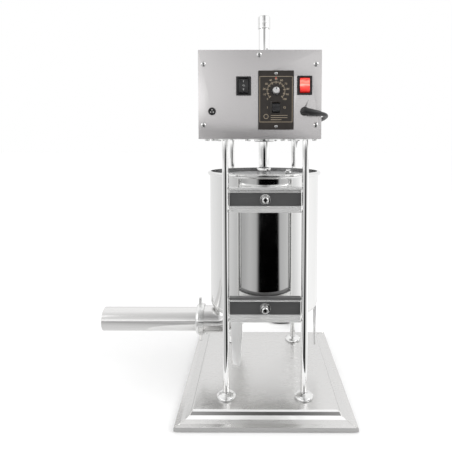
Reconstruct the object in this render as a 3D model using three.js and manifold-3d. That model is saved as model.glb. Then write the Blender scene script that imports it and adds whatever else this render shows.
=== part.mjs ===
// Electric sausage stuffer: base tray, four columns, cylinder with outlet elbow and horn,
// piston on a rack rod, and a head that holds the motor, gearbox, pinion and switches.
// Millimetres, +Z up. Origin: middle of the object's footprint, on the floor.
import * as THREE from 'three';
import * as BufferGeometryUtils from 'three/addons/utils/BufferGeometryUtils.js';
import Module from 'manifold-3d';

const wasm = await Module();
wasm.setup();

// ---------- driving dimensions ----------
const BASE_X = 156.3, BASE_Y = 186.2, LIP_Z = 2, PLATEAU_Z = 22, SHEET = 1.6;
const HORN_END_X = -333.4;
const SHIFT_X = -(HORN_END_X + BASE_X) / 2;   // column centreline to footprint middle
const GAP = 0.3;                 // clearance between touching pieces
const COL_X = 71.25, COL_Y = 117.2, COL_R = 6;
const CYL_R = 110, CYL_WALL = 1.8, RIM_Z = 431.5, RIM_R = 114.5, WALL_LOW_Z = 168;
const NECK_Z = 120.2, NECK_R = 27.4, NECK_BORE = 24.2, NECK_END_X = -124, NECK_IN_X = -66;
const HORN_R = 24, HORN_BORE = 22.4;
const NUT_X0 = -139.8, NUT_X1 = -123.6, NUT_R = 31.4, NUT_EAR_R = 46.9;
const BR_UP_Z = 386.7, BR_LOW_Z = 187, BR_H = 45.6, BR_Y0 = 110.8, BR_Y1 = 125;
const HEAD = { x0: -114.3, x1: 93.6, y0: -151, y1: 151, z0: 494.8, z1: 643.7 };
const PANEL_T = 1.7, HEAD_T = 1.5, PLATE_T = 6;
const ROD_R = 11, ROD_TOP = 716, ROD_LOW = 371, CAP_R = 12.5, CAP_Z0 = 715, CAP_Z1 = 742;
const PISTON_TOP = 424, PISTON_LOW = 380, PISTON_R = 105.5, HUB_R = 14.3, HUB_TOP = 437.1;
const MOD = 2, TEETH = 14, PRESSURE = 25 * Math.PI / 180, PIN_Y = 21, PIN_Z = 517, PLAY = 0.22;
const RACK_Z0 = 444, RACK_Z1 = 716;
const CORD_D = 7;

// ---------- colours ----------
const mat = (c, r, m) => new THREE.MeshStandardMaterial({ color: c, roughness: r, metalness: m });
const STEEL = mat(0xd4d4d2, 0.3, 1), SATIN = mat(0xc6c3c0, 0.42, 1), BRIGHT = mat(0xe2e2e2, 0.12, 1);
const ALU = mat(0xc9cacb, 0.45, 1), BLACK = mat(0x141414, 0.45, 0), RUBBER = mat(0x1a1a1a, 0.85, 0);
const RED = mat(0xd8352c, 0.25, 0), SILICONE = mat(0xe9e7df, 0.6, 0), DARK = mat(0x2a2b2d, 0.5, 0.2);
const BRASS = mat(0xb8954a, 0.35, 1), PAINT = mat(0x3b3d40, 0.5, 0.1);

// ---------- helpers ----------
function clean(geo) {
  const g = geo.clone();
  for (const k of Object.keys(g.attributes)) if (k !== 'position') g.deleteAttribute(k);
  return BufferGeometryUtils.mergeVertices(g, 1e-4);
}
function solid(geo) {
  const g = clean(geo);
  return new wasm.Manifold(new wasm.Mesh({
    numProp: 3, vertProperties: new Float32Array(g.attributes.position.array),
    triVerts: new Uint32Array(g.index.array) }));
}
function geoOf(man) {
  const m = man.getMesh();
  const g = new THREE.BufferGeometry();
  g.setAttribute('position', new THREE.BufferAttribute(new Float32Array(m.vertProperties), 3));
  g.setIndex(new THREE.BufferAttribute(new Uint32Array(m.triVerts), 1));
  return g;
}
const cutAll = (a, ...b) => b.reduce((s, x) => s.subtract(x), a);
const addAll = (a, ...b) => b.reduce((s, x) => s.add(x), a);
function box(x0, x1, y0, y1, z0, z1) {
  const g = new THREE.BoxGeometry(x1 - x0, y1 - y0, z1 - z0);
  g.translate((x0 + x1) / 2, (y0 + y1) / 2, (z0 + z1) / 2);
  return g;
}
// round bar along an axis, from a to b on that axis
function rod(axis, r, a, b, u, v, n = 24, turn = 0) {
  const g = new THREE.CylinderGeometry(r, r, b - a, n);   // along Y
  g.rotateY(turn);
  if (axis === 'z') { g.rotateX(Math.PI / 2); g.translate(u, v, (a + b) / 2); }
  else if (axis === 'y') { g.translate(u, (a + b) / 2, v); }
  else { g.rotateZ(-Math.PI / 2); g.translate((a + b) / 2, u, v); }
  return g;
}
// revolve a list of [radius, height] about Z
function lathe(pts, n = 48) {
  const g = new THREE.LatheGeometry(pts.map(p => new THREE.Vector2(p[0], p[1])), n);
  g.rotateX(Math.PI / 2);
  return g;
}
// lathe with its axis along another axis; heights run along +axis
function latheOn(axis, pts, n, u, v) {
  const g = lathe(pts, n);
  if (axis === 'x') { g.rotateY(Math.PI / 2); g.translate(0, u, v); }
  else if (axis === 'y') { g.rotateX(-Math.PI / 2); g.translate(u, 0, v); }
  else g.translate(u, v, 0);
  return g;
}
// orientation fix: a closed lathe whose profile winds inwards is turned inside out
function outward(geo) {
  const g = clean(geo);
  const p = g.attributes.position, ix = g.index.array;
  let vol = 0;
  const a = new THREE.Vector3(), b = new THREE.Vector3(), c = new THREE.Vector3();
  for (let i = 0; i < ix.length; i += 3) {
    a.fromBufferAttribute(p, ix[i]); b.fromBufferAttribute(p, ix[i + 1]); c.fromBufferAttribute(p, ix[i + 2]);
    vol += a.dot(b.clone().cross(c));
  }
  if (vol < 0) for (let i = 0; i < ix.length; i += 3) { const t = ix[i]; ix[i] = ix[i + 1]; ix[i + 1] = t; }
  return g;
}
const L = (pts, n) => outward(lathe(pts, n));
const LX = (axis, pts, n, u, v) => outward(latheOn(axis, pts, n, u, v));
// prism: outline in a plane, swept along an axis
function prism(axis, outline, a, b) {
  const s = new THREE.Shape(outline.map(p => new THREE.Vector2(p[0], p[1])));
  const g = new THREE.ExtrudeGeometry(s, { depth: b - a, bevelEnabled: false, steps: 1 });
  // shape in XY swept along +Z
  if (axis === 'z') g.translate(0, 0, a);
  else if (axis === 'x') {           // outline given as (y, z)
    g.applyMatrix4(new THREE.Matrix4().set(0, 0, 1, a, 1, 0, 0, 0, 0, 1, 0, 0, 0, 0, 0, 1));
  } else {                            // outline given as (x, z), swept along +Y
    g.applyMatrix4(new THREE.Matrix4().set(1, 0, 0, 0, 0, 0, 1, a, 0, 1, 0, 0, 0, 0, 0, 1));
  }
  return outward(g);
}
const all = new THREE.Group();
all.name = 'machine';
all.position.x = SHIFT_X;
function put(name, geo, material, parent = all) {
  const g = geo.isBufferGeometry ? outward(geo) : outward(geoOf(geo));
  const m = new THREE.Mesh(g, material);
  m.name = name;
  parent.add(m);
  return m;
}

// ---------- base ----------
// stepped edge, given as [distance from outer edge inwards, height]
const edge = [[0, 7], [1.5, 7.2], [9.3, 7.5], [16.5, 11.5], [24.7, 12], [28.8, 20]];
function hill(half, inset, drop, z0) {
  const pts = [[-half + inset, z0]];
  for (const [d, h] of edge) pts.push([-half + d + inset, LIP_Z + h - drop]);
  for (const [d, h] of [...edge].reverse()) pts.push([half - d - inset, LIP_Z + h - drop]);
  pts.push([half - inset, z0]);
  return pts.reverse();
}
{
  const outer = solid(prism('y', hill(BASE_X, 0, 0, LIP_Z), -BASE_Y - 5, BASE_Y + 5))
    .intersect(solid(prism('x', hill(BASE_Y, 0, 0, LIP_Z), -BASE_X - 5, BASE_X + 5)));
  const inner = solid(prism('y', hill(BASE_X, SHEET, SHEET, LIP_Z - 4), -BASE_Y + SHEET, BASE_Y - SHEET))
    .intersect(solid(prism('x', hill(BASE_Y, SHEET, SHEET, LIP_Z - 4), -BASE_X + SHEET, BASE_X - SHEET)));
  put('base_tray', cutAll(outer, inner), SATIN);
}
for (const [n, sx, sy] of [['front_left', -1, -1], ['front_right', 1, -1], ['rear_left', -1, 1], ['rear_right', 1, 1]]) {
  put('rubber_foot_' + n, L([[0, 0], [12, 0], [13.5, 1.5], [12, PLATEAU_Z - SHEET - GAP], [0, PLATEAU_Z - SHEET - GAP]], 20)
      .translate(sx * 106, sy * 136, 0), RUBBER);
  put('column_' + n, rod('z', COL_R, PLATEAU_Z + GAP, HEAD.z0 - GAP, sx * COL_X, sy * COL_Y, 20), BRIGHT);
  put('column_flange_' + n, L([[COL_R + 0.4, PLATEAU_Z + GAP], [17.6, PLATEAU_Z + GAP], [18, PLATEAU_Z + 1.5], [17, PLATEAU_Z + 4.5],
    [13.5, PLATEAU_Z + 7.2], [COL_R + 0.4, PLATEAU_Z + 9.2], [COL_R + 0.4, PLATEAU_Z + GAP]], 20)
    .translate(sx * COL_X, sy * COL_Y, 0), BRIGHT);
}

// ---------- cross brackets and their bolts ----------
for (const [side, s] of [['front', -1], ['rear', 1]]) {
  for (const [lev, zc] of [['upper', BR_UP_Z], ['lower', BR_LOW_Z]]) {
    const h = BR_H / 2, t = 3;
    // outline as (y, z), web near the cylinder, flanges pointing away from it
    const o = [[BR_Y0, -h + 2], [BR_Y0 + 2, -h], [BR_Y1 - 1, -h], [BR_Y1, -h + 1.2], [BR_Y1, -h + 3], [BR_Y1 - 1, -h + t + 0.8], [BR_Y0 + 4, -h + t + 0.8],
      [BR_Y0 + 3, -h + t + 2], [BR_Y0 + 3, h - t - 2], [BR_Y0 + 4, h - t - 0.8], [BR_Y1 - 1, h - t - 0.8], [BR_Y1, h - 3], [BR_Y1, h - 1.2], [BR_Y1 - 1, h], [BR_Y0 + 2, h], [BR_Y0, h - 2]];
    const b = solid(prism('x', o.map(p => [s * p[0], zc + p[1]]), -64.8, 64.8))
      .subtract(solid(rod('y', 4.6, s < 0 ? -150 : 100, s < 0 ? -100 : 150, 0, zc, 20)));
    put(`bracket_${lev}_${side}`, b, STEEL);
    // clamping screw with washer and lock nut: its tip bears on the cylinder wall
    const y = v => s * (BR_Y0 + v);
    const scr = solid(LX('y', [[0, y(-0.4)], [3.9, y(-0.4)], [3.9, y(3.3)], [9.7, y(3.3)], [9.7, y(5)], [8.2, y(5)], [8.2, y(9.6)], [6.8, y(9.6)], [6.8, y(17)], [6.2, y(17.8)], [0, y(17.8)]], 16, 0, zc))
      .subtract(solid(rod('y', 3.4, s < 0 ? -(BR_Y0 + 22) : BR_Y0 + 13, s < 0 ? -(BR_Y0 + 13) : BR_Y0 + 22, 0, zc, 6)));
    put(`bracket_bolt_${lev}_${side}`, scr, BRIGHT);
  }
}

// ---------- cylinder, legs, neck ----------
const N = 40;                    // facets round the cylinder, piston and seal, all in step
const SEAM_Z = WALL_LOW_Z;       // weld seam between wall and pressed bottom
const dishOut = [[0, 155.5], [92, 155.5], [100, 156.2], [106, 158.8], [109, 162.5], [CYL_R, SEAM_Z]];
const dishIn = [[0, 157.3], [91.6, 157.3], [99.2, 157.9], [104.7, 160.2], [107.3, 163.3], [CYL_R - CYL_WALL, SEAM_Z]];
put('cylinder_wall', L([[CYL_R - CYL_WALL, SEAM_Z + GAP], [CYL_R, SEAM_Z + GAP], [CYL_R, RIM_Z - 7.4], [113, RIM_Z - 7], [RIM_R, RIM_Z - 5.2], [RIM_R, RIM_Z - 1.8], [113, RIM_Z],
  [CYL_R - CYL_WALL, RIM_Z], [CYL_R - CYL_WALL, SEAM_Z + GAP]], N), SATIN);
{
  // outlet elbow under the flat bottom: out to the left, up into the cylinder
  const elbow = (r, x0, z1) => addAll(solid(rod('x', r, x0, NECK_IN_X, 0, NECK_Z, 28)), solid(new THREE.SphereGeometry(r - 0.2, 28, 16).translate(NECK_IN_X, 0, NECK_Z)),
    solid(rod('z', r, NECK_Z, z1, NECK_IN_X, 0, 28)));
  const bowl = solid(L([...dishOut, [0, SEAM_Z]], N)), hollow = solid(L([...dishIn, [0, SEAM_Z + 1]], N));
  put('cylinder_bottom', cutAll(bowl, hollow, solid(rod('z', NECK_BORE, 150, 162, NECK_IN_X, 0, 28))), SATIN);
  put('outlet_neck', cutAll(elbow(NECK_R, NECK_END_X, dishOut[0][1] - GAP), elbow(NECK_BORE, NECK_END_X - 3, 160)), SATIN);
}
for (const [n, az] of [['right', 0], ['rear_left', 120], ['front_left', 240]]) {
  // tangential plate, tapering downwards, 24 wide at the top and 17 at the bottom
  const R = 107.3;
  const o = [[-8.8, 69.7], [-7.3, 68.2], [7.3, 68.2], [8.8, 69.7], [12.3, 132], [12.3, 163], [-12.3, 163], [-12.3, 132]];
  const g = prism('x', o, R - 2.8, R);
  // the upper end is cut to the rounded bottom that it carries
  const cutter = solid(L([[0, 155.1], [92, 155.1], [100.1, 155.8], [106.3, 158.5], [109.4, 162.3], [CYL_R + 0.4, SEAM_Z], [CYL_R + 0.4, SEAM_Z + 20], [0, SEAM_Z + 20]], N).rotateZ(-az * Math.PI / 180));
  const m = put('cylinder_leg_' + n, solid(g).subtract(cutter), SATIN);
  m.rotation.z = az * Math.PI / 180;
}

// ---------- horn, gasket, wing nut ----------
put('horn', LX('x', [[HORN_BORE, HORN_END_X], [HORN_R, HORN_END_X], [HORN_R, NECK_END_X - 9.4], [NECK_R, NECK_END_X - 9], [NECK_R, NECK_END_X - 3], [HORN_BORE, NECK_END_X - 3], [HORN_BORE, HORN_END_X]], 28, 0, NECK_Z), SATIN);
put('horn_gasket', LX('x', [[NECK_BORE + 0.2, NECK_END_X - 2.7], [NECK_R, NECK_END_X - 2.7], [NECK_R, NECK_END_X - 0.3], [NECK_BORE + 0.2, NECK_END_X - 0.3], [NECK_BORE + 0.2, NECK_END_X - 2.7]], 28, 0, NECK_Z), SILICONE);
{
  const ri = NUT_R - 3;
  const ring = solid(LX('x', [[ri, NUT_X1], [NUT_R, NUT_X1], [NUT_R, NUT_X0 + 5], [29, NUT_X0 + 0.6], [28, NUT_X0], [HORN_R + 0.5, NUT_X0], [HORN_R + 0.5, NECK_END_X - 10], [ri, NECK_END_X - 9.6], [ri, NUT_X1]], 28, 0, NECK_Z));
  let nut = ring;
  for (const s of [-1, 1]) {
    const o = [[-9.4, ri + 0.1], [9.4, ri + 0.1], [7.9, 35.5], [5.8, 43], [3.2, NUT_EAR_R - 0.6], [0, NUT_EAR_R], [-3.2, NUT_EAR_R - 0.6], [-5.8, 43], [-7.9, 35.5]];
    const hole = solid(rod('x', ri, NUT_X0 - 2, NUT_X1 + 2, 0, NECK_Z, 28));
    nut = nut.add(solid(prism('x', o.map(p => [p[0], NECK_Z + s * p[1]]), -134, -130)).subtract(hole));
  }
  put('wing_nut', nut, BRIGHT);
}

// ---------- piston group ----------
{
  const grooveR = 99.5, z1 = PISTON_LOW + 12, z2 = PISTON_LOW + 26;
  const disc = solid(L([[ROD_R + 0.4, PISTON_LOW], [PISTON_R - 2, PISTON_LOW], [PISTON_R, PISTON_LOW + 2], [PISTON_R, z1], [grooveR, z1], [grooveR, z2], [PISTON_R, z2],
    [PISTON_R, PISTON_TOP - 1.5], [PISTON_R - 1.5, PISTON_TOP], [ROD_R + 0.4, PISTON_TOP], [ROD_R + 0.4, PISTON_TOP - 4], [grooveR - 4, PISTON_TOP - 4],
    [grooveR - 4, PISTON_LOW + 4], [ROD_R + 0.4, PISTON_LOW + 4], [ROD_R + 0.4, PISTON_LOW]], 40));
  put('piston_disc', disc.subtract(solid(rod('z', 5, PISTON_LOW - 5, PISTON_TOP + 5, 52, 30, 16))), ALU);
  put('piston_seal', L([[grooveR + 0.6, z1 + 0.3], [PISTON_R + 0.6, z1 + 0.3], [107.5, z1 + 2.5], [106.8, (z1 + z2) / 2], [107.5, z2 - 2.5], [PISTON_R + 0.6, z2 - 0.3], [grooveR + 0.6, z2 - 0.3], [grooveR + 0.6, z1 + 0.3]], 40), SILICONE);
  // relief valve: head on top of the piston, stem through both plates, circlip inside the hollow
  put('air_valve', L([[0, PISTON_LOW + 0.4], [3.6, PISTON_LOW + 0.4], [3.6, PISTON_TOP - 12], [6.4, PISTON_TOP - 12], [6.4, PISTON_TOP - 10], [3.6, PISTON_TOP - 10], [3.6, PISTON_TOP + GAP], [8, PISTON_TOP + GAP], [8, PISTON_TOP + 2], [5, PISTON_TOP + 4.5], [5, PISTON_TOP + 8], [0, PISTON_TOP + 8]], 16).translate(52, 30, 0), BRIGHT);
}
{
  // rod with rack teeth on the +Y side
  const yPitch = PIN_Y - MOD * TEETH / 2;                                  // 7
  const tip = yPitch + 0.9 * MOD, root = yPitch - 1.2 * MOD, p = Math.PI * MOD, ta = Math.tan(PRESSURE);
  let bar = solid(L([[0, ROD_LOW + 6], [ROD_R - 2, ROD_LOW + 6], [ROD_R, ROD_LOW + 8], [ROD_R, ROD_TOP - 1], [0, ROD_TOP - 1]], 24));
  bar = bar.subtract(solid(box(-15, 15, tip, 20, RACK_Z0, RACK_Z1)));
  // tooth gaps, one prism each, centred on PIN_Z + k p
  const kLo = Math.ceil((RACK_Z0 + 4 - PIN_Z) / p), kHi = Math.floor((RACK_Z1 - 2 - PIN_Z) / p);
  for (let k = kLo; k <= kHi; k++) {
    const zc = PIN_Z + k * p, half = v => p / 4 + PLAY / 2 + (v - yPitch) * ta;
    const o = [[root, zc - half(root)], [tip + 1, zc - half(tip + 1)], [tip + 1, zc + half(tip + 1)], [root, zc + half(root)]];
    bar = bar.subtract(solid(prism('x', o, -15, 15)));
  }
  put('rack_rod', bar, BRIGHT);
  put('rod_cap', L([[0, CAP_Z0 + GAP], [CAP_R - 1, CAP_Z0 + GAP], [CAP_R, CAP_Z0 + 1.3], [CAP_R, CAP_Z1 - 4], [CAP_R - 1.6, CAP_Z1 - 1.4], [CAP_R - 4.5, CAP_Z1], [0, CAP_Z1]], 20), BRIGHT);
  put('piston_nut', L([[ROD_R + 0.4, PISTON_TOP + GAP], [HUB_R, PISTON_TOP + GAP], [HUB_R, HUB_TOP - 1.5], [HUB_R - 1.4, HUB_TOP], [ROD_R + 0.4, HUB_TOP], [ROD_R + 0.4, PISTON_TOP + GAP]], 20), STEEL);
}
{
  // pinion with involute teeth, a tooth pointing at the rod (towards -Y)
  const r = MOD * TEETH / 2, rb = r * Math.cos(PRESSURE), ra = r + 0.9 * MOD, rf = r - 1.25 * MOD;
  const inv = a => Math.tan(a) - a;
  const halfAt = rad => { const a = Math.acos(Math.min(1, rb / rad)); return Math.PI / (2 * TEETH) - PLAY / (2 * r) + inv(PRESSURE) - inv(a); };
  const o = [];
  for (let i = 0; i < TEETH; i++) {
    const c = Math.PI + i * 2 * Math.PI / TEETH;       // angle measured in the (y, z) plane
    const hb = halfAt(rb);
    o.push([rf, c - hb - 0.02], [rb, c - hb]);
    for (const q of [0.5, 1]) { const rr = rb + (ra - rb) * q; o.push([rr, c - halfAt(rr)]); }
    for (const q of [1, 0.5]) { const rr = rb + (ra - rb) * q; o.push([rr, c + halfAt(rr)]); }
    o.push([rb, c + hb], [rf, c + hb + 0.02]);
  }
  const yz = o.map(([rad, a]) => [PIN_Y + rad * Math.cos(a), PIN_Z + rad * Math.sin(a)]);
  let pin = solid(prism('x', yz, -9, 9));
  pin = addAll(pin, solid(rod('x', 7, -11.5, 11.5, PIN_Y, PIN_Z, 24)), solid(rod('x', 5, -40, 22, PIN_Y, PIN_Z, 20)));
  put('pinion_shaft', pin, STEEL);
  for (const [n, a, b] of [['left', -21, -13], ['right', 13, 21]])
    put('bearing_' + n, LX('x', [[5.3, a], [11.8, a], [11.8, b], [5.3, b], [5.3, a]], 20, PIN_Y, PIN_Z), STEEL);
}

// ---------- head ----------
// centres of the fittings on the panel, as (x, z)
const DIR = { x: -37.7, z: 583.6 }, POW = { x: 64.9, z: 584.6 }, CTL = { x: 16.7, z: 559.8 }, KNOB_Z = 575.2, RUN_Z = 547.2;
const SOCK = { x: -91.1, z: 541.3 }, SREL = { x: 65.2, z: 541.3 };
{
  const { x0, x1, y0, y1, z0, z1 } = HEAD, t = HEAD_T;
  const shell = cutAll(solid(box(x0, x1, y0 + PANEL_T + GAP, y1, z0, z1)),
    solid(box(x0 + t, x1 - t, y0 - 5, y1 - t, z0 - 5, z1 - t)),
    solid(rod('z', 14.5, z1 - 20, z1 + 20, 0, 0, 24)));
  put('head_cover', shell, SATIN);
  put('head_plate', cutAll(solid(box(x0 + t + GAP, x1 - t - GAP, y0 + PANEL_T + GAP, y1 - t - GAP, z0, z0 + PLATE_T)),
    solid(rod('z', 14.6, z0 - 5, z0 + 12, 0, 0, 24))), STEEL);
  let panel = solid(box(x0, x1, y0, y0 + PANEL_T, z0, z1));
  const slot = (cx, cz, w, h) => solid(box(cx - w / 2, cx + w / 2, y0 - 3, y0 + 4, cz - h / 2, cz + h / 2));
  panel = cutAll(panel, slot(DIR.x, DIR.z, 20.8, 27.6), slot(POW.x, POW.z, 20.8, 27.6), slot(CTL.x, CTL.z, 52, 84),
    solid(rod('y', 5.6, y0 - 3, y0 + 4, SOCK.x, SOCK.z, 24)), solid(rod('y', 6.1, y0 - 3, y0 + 4, SREL.x, SREL.z, 24)));
  put('control_panel', panel, SATIN);
  put('guide_bush', L([[ROD_R + 0.45, z0 - 4.6], [19.4, z0 - 4.6], [20.5, z0 - 3.6], [20.5, z0 - GAP], [14.1, z0 - GAP], [14.1, z0 + 5], [ROD_R + 0.45, z0 + 5], [ROD_R + 0.45, z0 - 4.6]], 24), BRIGHT);
}
{
  // gear case around the pinion: guides the rod above the plate and holds both bearings
  const z0 = HEAD.z0 + PLATE_T + GAP;
  put('gear_case', cutAll(solid(box(-24, 24, -18, 42, z0, 534)),
    solid(rod('z', ROD_R + 0.5, z0 - 5, 545, 0, 0, 24)),
    solid(rod('z', CAP_R + 1, 529.5, 545, 0, 0, 24)),
    solid(box(-12.5, 12.5, 6, 39, z0 - 5, 545)),
    solid(rod('x', 12.3, -21.3, -5, PIN_Y, PIN_Z, 20)), solid(rod('x', 12.3, 5, 21.3, PIN_Y, PIN_Z, 20)),
    solid(rod('x', 6.2, -30, 30, PIN_Y, PIN_Z, 20))), ALU);
  put('gearbox', cutAll(solid(box(-92, -36, -22, 66, z0, 603)), solid(rod('x', 5.5, -44, -30, PIN_Y, PIN_Z, 20)),
    solid(box(-95, -88, -25, 75, 588, 610)), solid(box(-40, -30, -25, 75, 588, 610))), PAINT);
  put('motor', addAll(solid(rod('y', 37, 66.3, 138, -64, 553, 28)), solid(rod('y', 12, 137.5, 144, -64, 553, 20))), DARK);
}

// ---------- switches and fittings on the panel ----------
const FY = HEAD.y0 - GAP;            // just in front of the panel
const ON_TILT = -8 * Math.PI / 180;  // a two-position rocker rests with its top pressed in
function tilted(g, cz, a) {           // turn about the rocker's pivot line
  g.translate(0, -FY, -cz); g.rotateX(a); g.translate(0, FY, cz);
  return g;
}
function rocker(name, bodyName, cx, cz, w, h, R, tip, bodyMat, rockMat, depth, tilt) {
  // bezel and body in one piece, with a pocket for the rocker
  const bw = w + 5.2, bh = h + 5.6;
  const pocketH = R + 0.55;
  let body = addAll(solid(box(cx - bw / 2, cx + bw / 2, FY - 3, FY, cz - bh / 2, cz + bh / 2)),
    solid(box(cx - w / 2 + 0.4 - 0, cx + w / 2 - 0.4, FY - 0.5, FY + depth, cz - h / 2 - 0.5, cz + h / 2 + 0.5)));
  body = body.subtract(solid(box(cx - w / 2 + 1.6, cx + w / 2 - 1.6, FY - 5, FY + R * 0.55, cz - pocketH, cz + pocketH)));
  put(bodyName, body, bodyMat);
  const o = [];
  const a0 = Math.acos(tip / R), a1 = Math.PI - Math.acos(3 / R);
  for (let i = 0; i <= 5; i++) { const a = a0 + (a1 - a0) * i / 5; o.push([FY - R * Math.cos(a), cz + R * Math.sin(a)]); }
  for (let i = 5; i >= 0; i--) { const a = a0 + (a1 - a0) * i / 5; o.push([FY - R * Math.cos(a), cz - R * Math.sin(a)]); }
  o.push([FY - tip + 1.5, cz]);
  put(name, tilted(prism('x', o, cx - w / 2 + 1.95, cx + w / 2 - 1.95), cz, tilt), rockMat);
}
rocker('direction_rocker', 'direction_switch_body', DIR.x, DIR.z, 20, 26, 12.4, 6, BLACK, BLACK, 24, 0);
rocker('power_rocker', 'power_switch_body', POW.x, POW.z, 20, 26, 12.4, 6, BLACK, RED, 24, ON_TILT);
{
  const cx = CTL.x, cz = CTL.z;
  let b = addAll(solid(box(cx - 30, cx + 30, FY - 2.6, FY, cz - 49.3, cz + 49.3)), solid(box(cx - 25.6, cx + 25.6, FY - 1, FY + 58, cz - 41.5, cz + 41.5)));
  // pocket for the run rocker, and the spindle hole
  b = cutAll(b, solid(box(cx - 6.6, cx + 6.6, FY - 6, FY + 4.4, RUN_Z - 8.5, RUN_Z + 8.5)), solid(rod('y', 2.4, FY - 6, FY + 6, cx, KNOB_Z, 16)));
  // raised frame of the run rocker
  b = b.add(cutAll(solid(box(cx - 8.75, cx + 8.75, FY - 4.2, FY - 2, RUN_Z - 10.65, RUN_Z + 10.65)), solid(box(cx - 6.6, cx + 6.6, FY - 6, FY, RUN_Z - 8.5, RUN_Z + 8.5))));
  put('speed_controller', b, BLACK);
  const o = [], R = 8, tip = 6;
  const a0 = Math.acos(tip / R), a1 = Math.PI - Math.acos(2 / R);
  for (let i = 0; i <= 4; i++) { const a = a0 + (a1 - a0) * i / 4; o.push([FY - R * Math.cos(a), RUN_Z + R * Math.sin(a)]); }
  for (let i = 4; i >= 0; i--) { const a = a0 + (a1 - a0) * i / 4; o.push([FY - R * Math.cos(a), RUN_Z - R * Math.sin(a)]); }
  o.push([FY - tip + 1, RUN_Z]);
  put('run_rocker', tilted(prism('x', o, cx - 6.2, cx + 6.2), RUN_Z, ON_TILT), BLACK);
  put('speed_knob', solid(LX('y', [[0, FY + 5], [2, FY + 5], [2, FY - 2.9], [7.2, FY - 2.9], [7.2, FY - 4.5], [5.7, FY - 5.5], [5.5, FY - 14], [4.8, FY - 14.8], [0, FY - 14.8]], 20, cx, KNOB_Z))
    .subtract(solid(box(cx - 0.5, cx + 0.5, FY - 16, FY - 14, KNOB_Z + 1, KNOB_Z + 8))), STEEL);
}
put('pedal_socket', cutAll(solid(LX('y', [[0, FY + 14], [5.2, FY + 14], [5.2, FY], [6.45, FY], [6.45, FY - 2], [5.9, FY - 2.6], [4.9, FY - 2.6], [4.9, FY - 0.2], [0, FY - 0.2]], 16, SOCK.x, SOCK.z))), BLACK);

// ---------- cord ----------
{
  // round shoulder, then a bent sleeve that points to the right and slightly down
  const base = solid(LX('y', [[0, FY + 8], [5.7, FY + 8], [5.7, FY], [7.4, FY], [7.4, FY - 3.5], [5.8, FY - 5], [5.6, FY - 13], [3.6, FY - 16], [0, FY - 16.4]], 18, SREL.x, SREL.z));
  const dir = new THREE.Vector3(1, 0, -0.2).normalize();
  const sl = new THREE.CylinderGeometry(4.3, 5.5, 9.8, 18);
  sl.translate(0, 4.9, 0);
  sl.applyQuaternion(new THREE.Quaternion().setFromUnitVectors(new THREE.Vector3(0, 1, 0), dir));
  sl.translate(SREL.x, FY - 11.7, SREL.z);
  put('strain_relief', base.add(solid(sl)), RUBBER);
}
// cord route: round the head's corner, along its side, through the clip, down behind the
// rear right column and over the turns of the coil behind the tray
const cordPts = [
  [75.6, -163.3, 539.1], [82.9, -162.3, 538.1], [89.7, -159.5, 537.2], [95.5, -155.0, 536.2], [100.0, -149.2, 535.3], [102.8, -142.4, 534.3],
  [103.8, -135.1, 533.3], [103.1, -114, 531.2], [101.6, -90, 530.2], [100, -60, 529.4], [99.4, -30, 529], [99.2, 10, 528.9],
  [99.2, 60, 530.9], [99.2, 100, 533.4], [99.2, 122, 534], [99.2, 140, 533.8], [98.6, 155, 532.2], [96.6, 169, 527.6],
  [93.3, 181.5, 519.6], [89.4, 191.6, 508.6], [85.6, 199.2, 494.5], [82.6, 204.2, 477], [80.5, 206.9, 455], [79.5, 208, 425],
  [79.4, 208.3, 370], [79.4, 208.3, 250], [79.4, 208.3, 130], [79.2, 208.3, 80], [79, 208.5, 55], [78.8, 208.8, 47.2],
  [78.7, 210.6, 36.1], [78.6, 215.7, 26.0], [78.5, 223.6, 18.1], [78.4, 233.7, 13.0], [78.3, 244.8, 11.2], [78.3, 262, 11.2],
  [78.3, 278, 11.2], [78.3, 291, 10.9]];
// three turns and a quarter, 7 mm apart, wound outwards; the cord crosses over them to the inner turn
const COIL = { x: 50.3, y: 305 };
{
  const curve = new THREE.CatmullRomCurve3(cordPts.map(p => new THREE.Vector3(...p)), false, 'centripetal');
  const n = 8, s = new THREE.Shape();
  for (let i = 0; i < n; i++) { const a = (i + 0.5) * 2 * Math.PI / n; const x = CORD_D / 2 * Math.cos(a), y = CORD_D / 2 * Math.sin(a); i ? s.lineTo(x, y) : s.moveTo(x, y); }
  s.closePath();
  put('power_cord', outward(new THREE.ExtrudeGeometry(s, { steps: 90, bevelEnabled: false, extrudePath: curve })), RUBBER);
}
put('cord_coil', L([[24.5, 0.3], [54.5, 0.3], [54.5, 7.3], [24.5, 7.3], [24.5, 0.3]], 32).translate(COIL.x, COIL.y, 0), RUBBER);
{
  // plug lying on the floor beside the coil, its sleeve in line with the last turn
  const o = [[-21, -13], [-17, -15], [14, -15], [18, -10], [18, 10], [14, 15], [-17, 15], [-21, 13]];
  let plug = solid(prism('z', o, 0.4, 25));
  plug = plug.add(solid(rod('x', 6, 17, 34, 0, 9, 16)));
  for (const s of [-1, 1]) plug = plug.add(solid(box(-40, -20, s * 7 - 2.4, s * 7 + 2.4, 10, 16)));
  const m = put('plug', plug, RUBBER);
  m.position.set(18.5 - 34, COIL.y + 51, 0);
}
{
  // clip that holds the cord on the head's side wall
  const cx = 99.2, cz = 534, xw = HEAD.x1 + GAP;
  let c = solid(LX('y', [[3.9, 117], [5.3, 117], [5.3, 127], [3.9, 127], [3.9, 117]], 20, cx, cz));
  c = c.add(solid(box(xw, xw + 1.3, 117, 127, 528.5, 554)).add(solid(rod('x', 3.4, xw + 1.2, xw + 3.3, 122, 547, 16)))
    .subtract(solid(rod('y', 4.4, 110, 134, cx, cz, 20))));
  put('cord_clip', c, STEEL);
}

export default all;
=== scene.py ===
import bpy, bmesh, math
from mathutils import Vector, Matrix, noise


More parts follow.
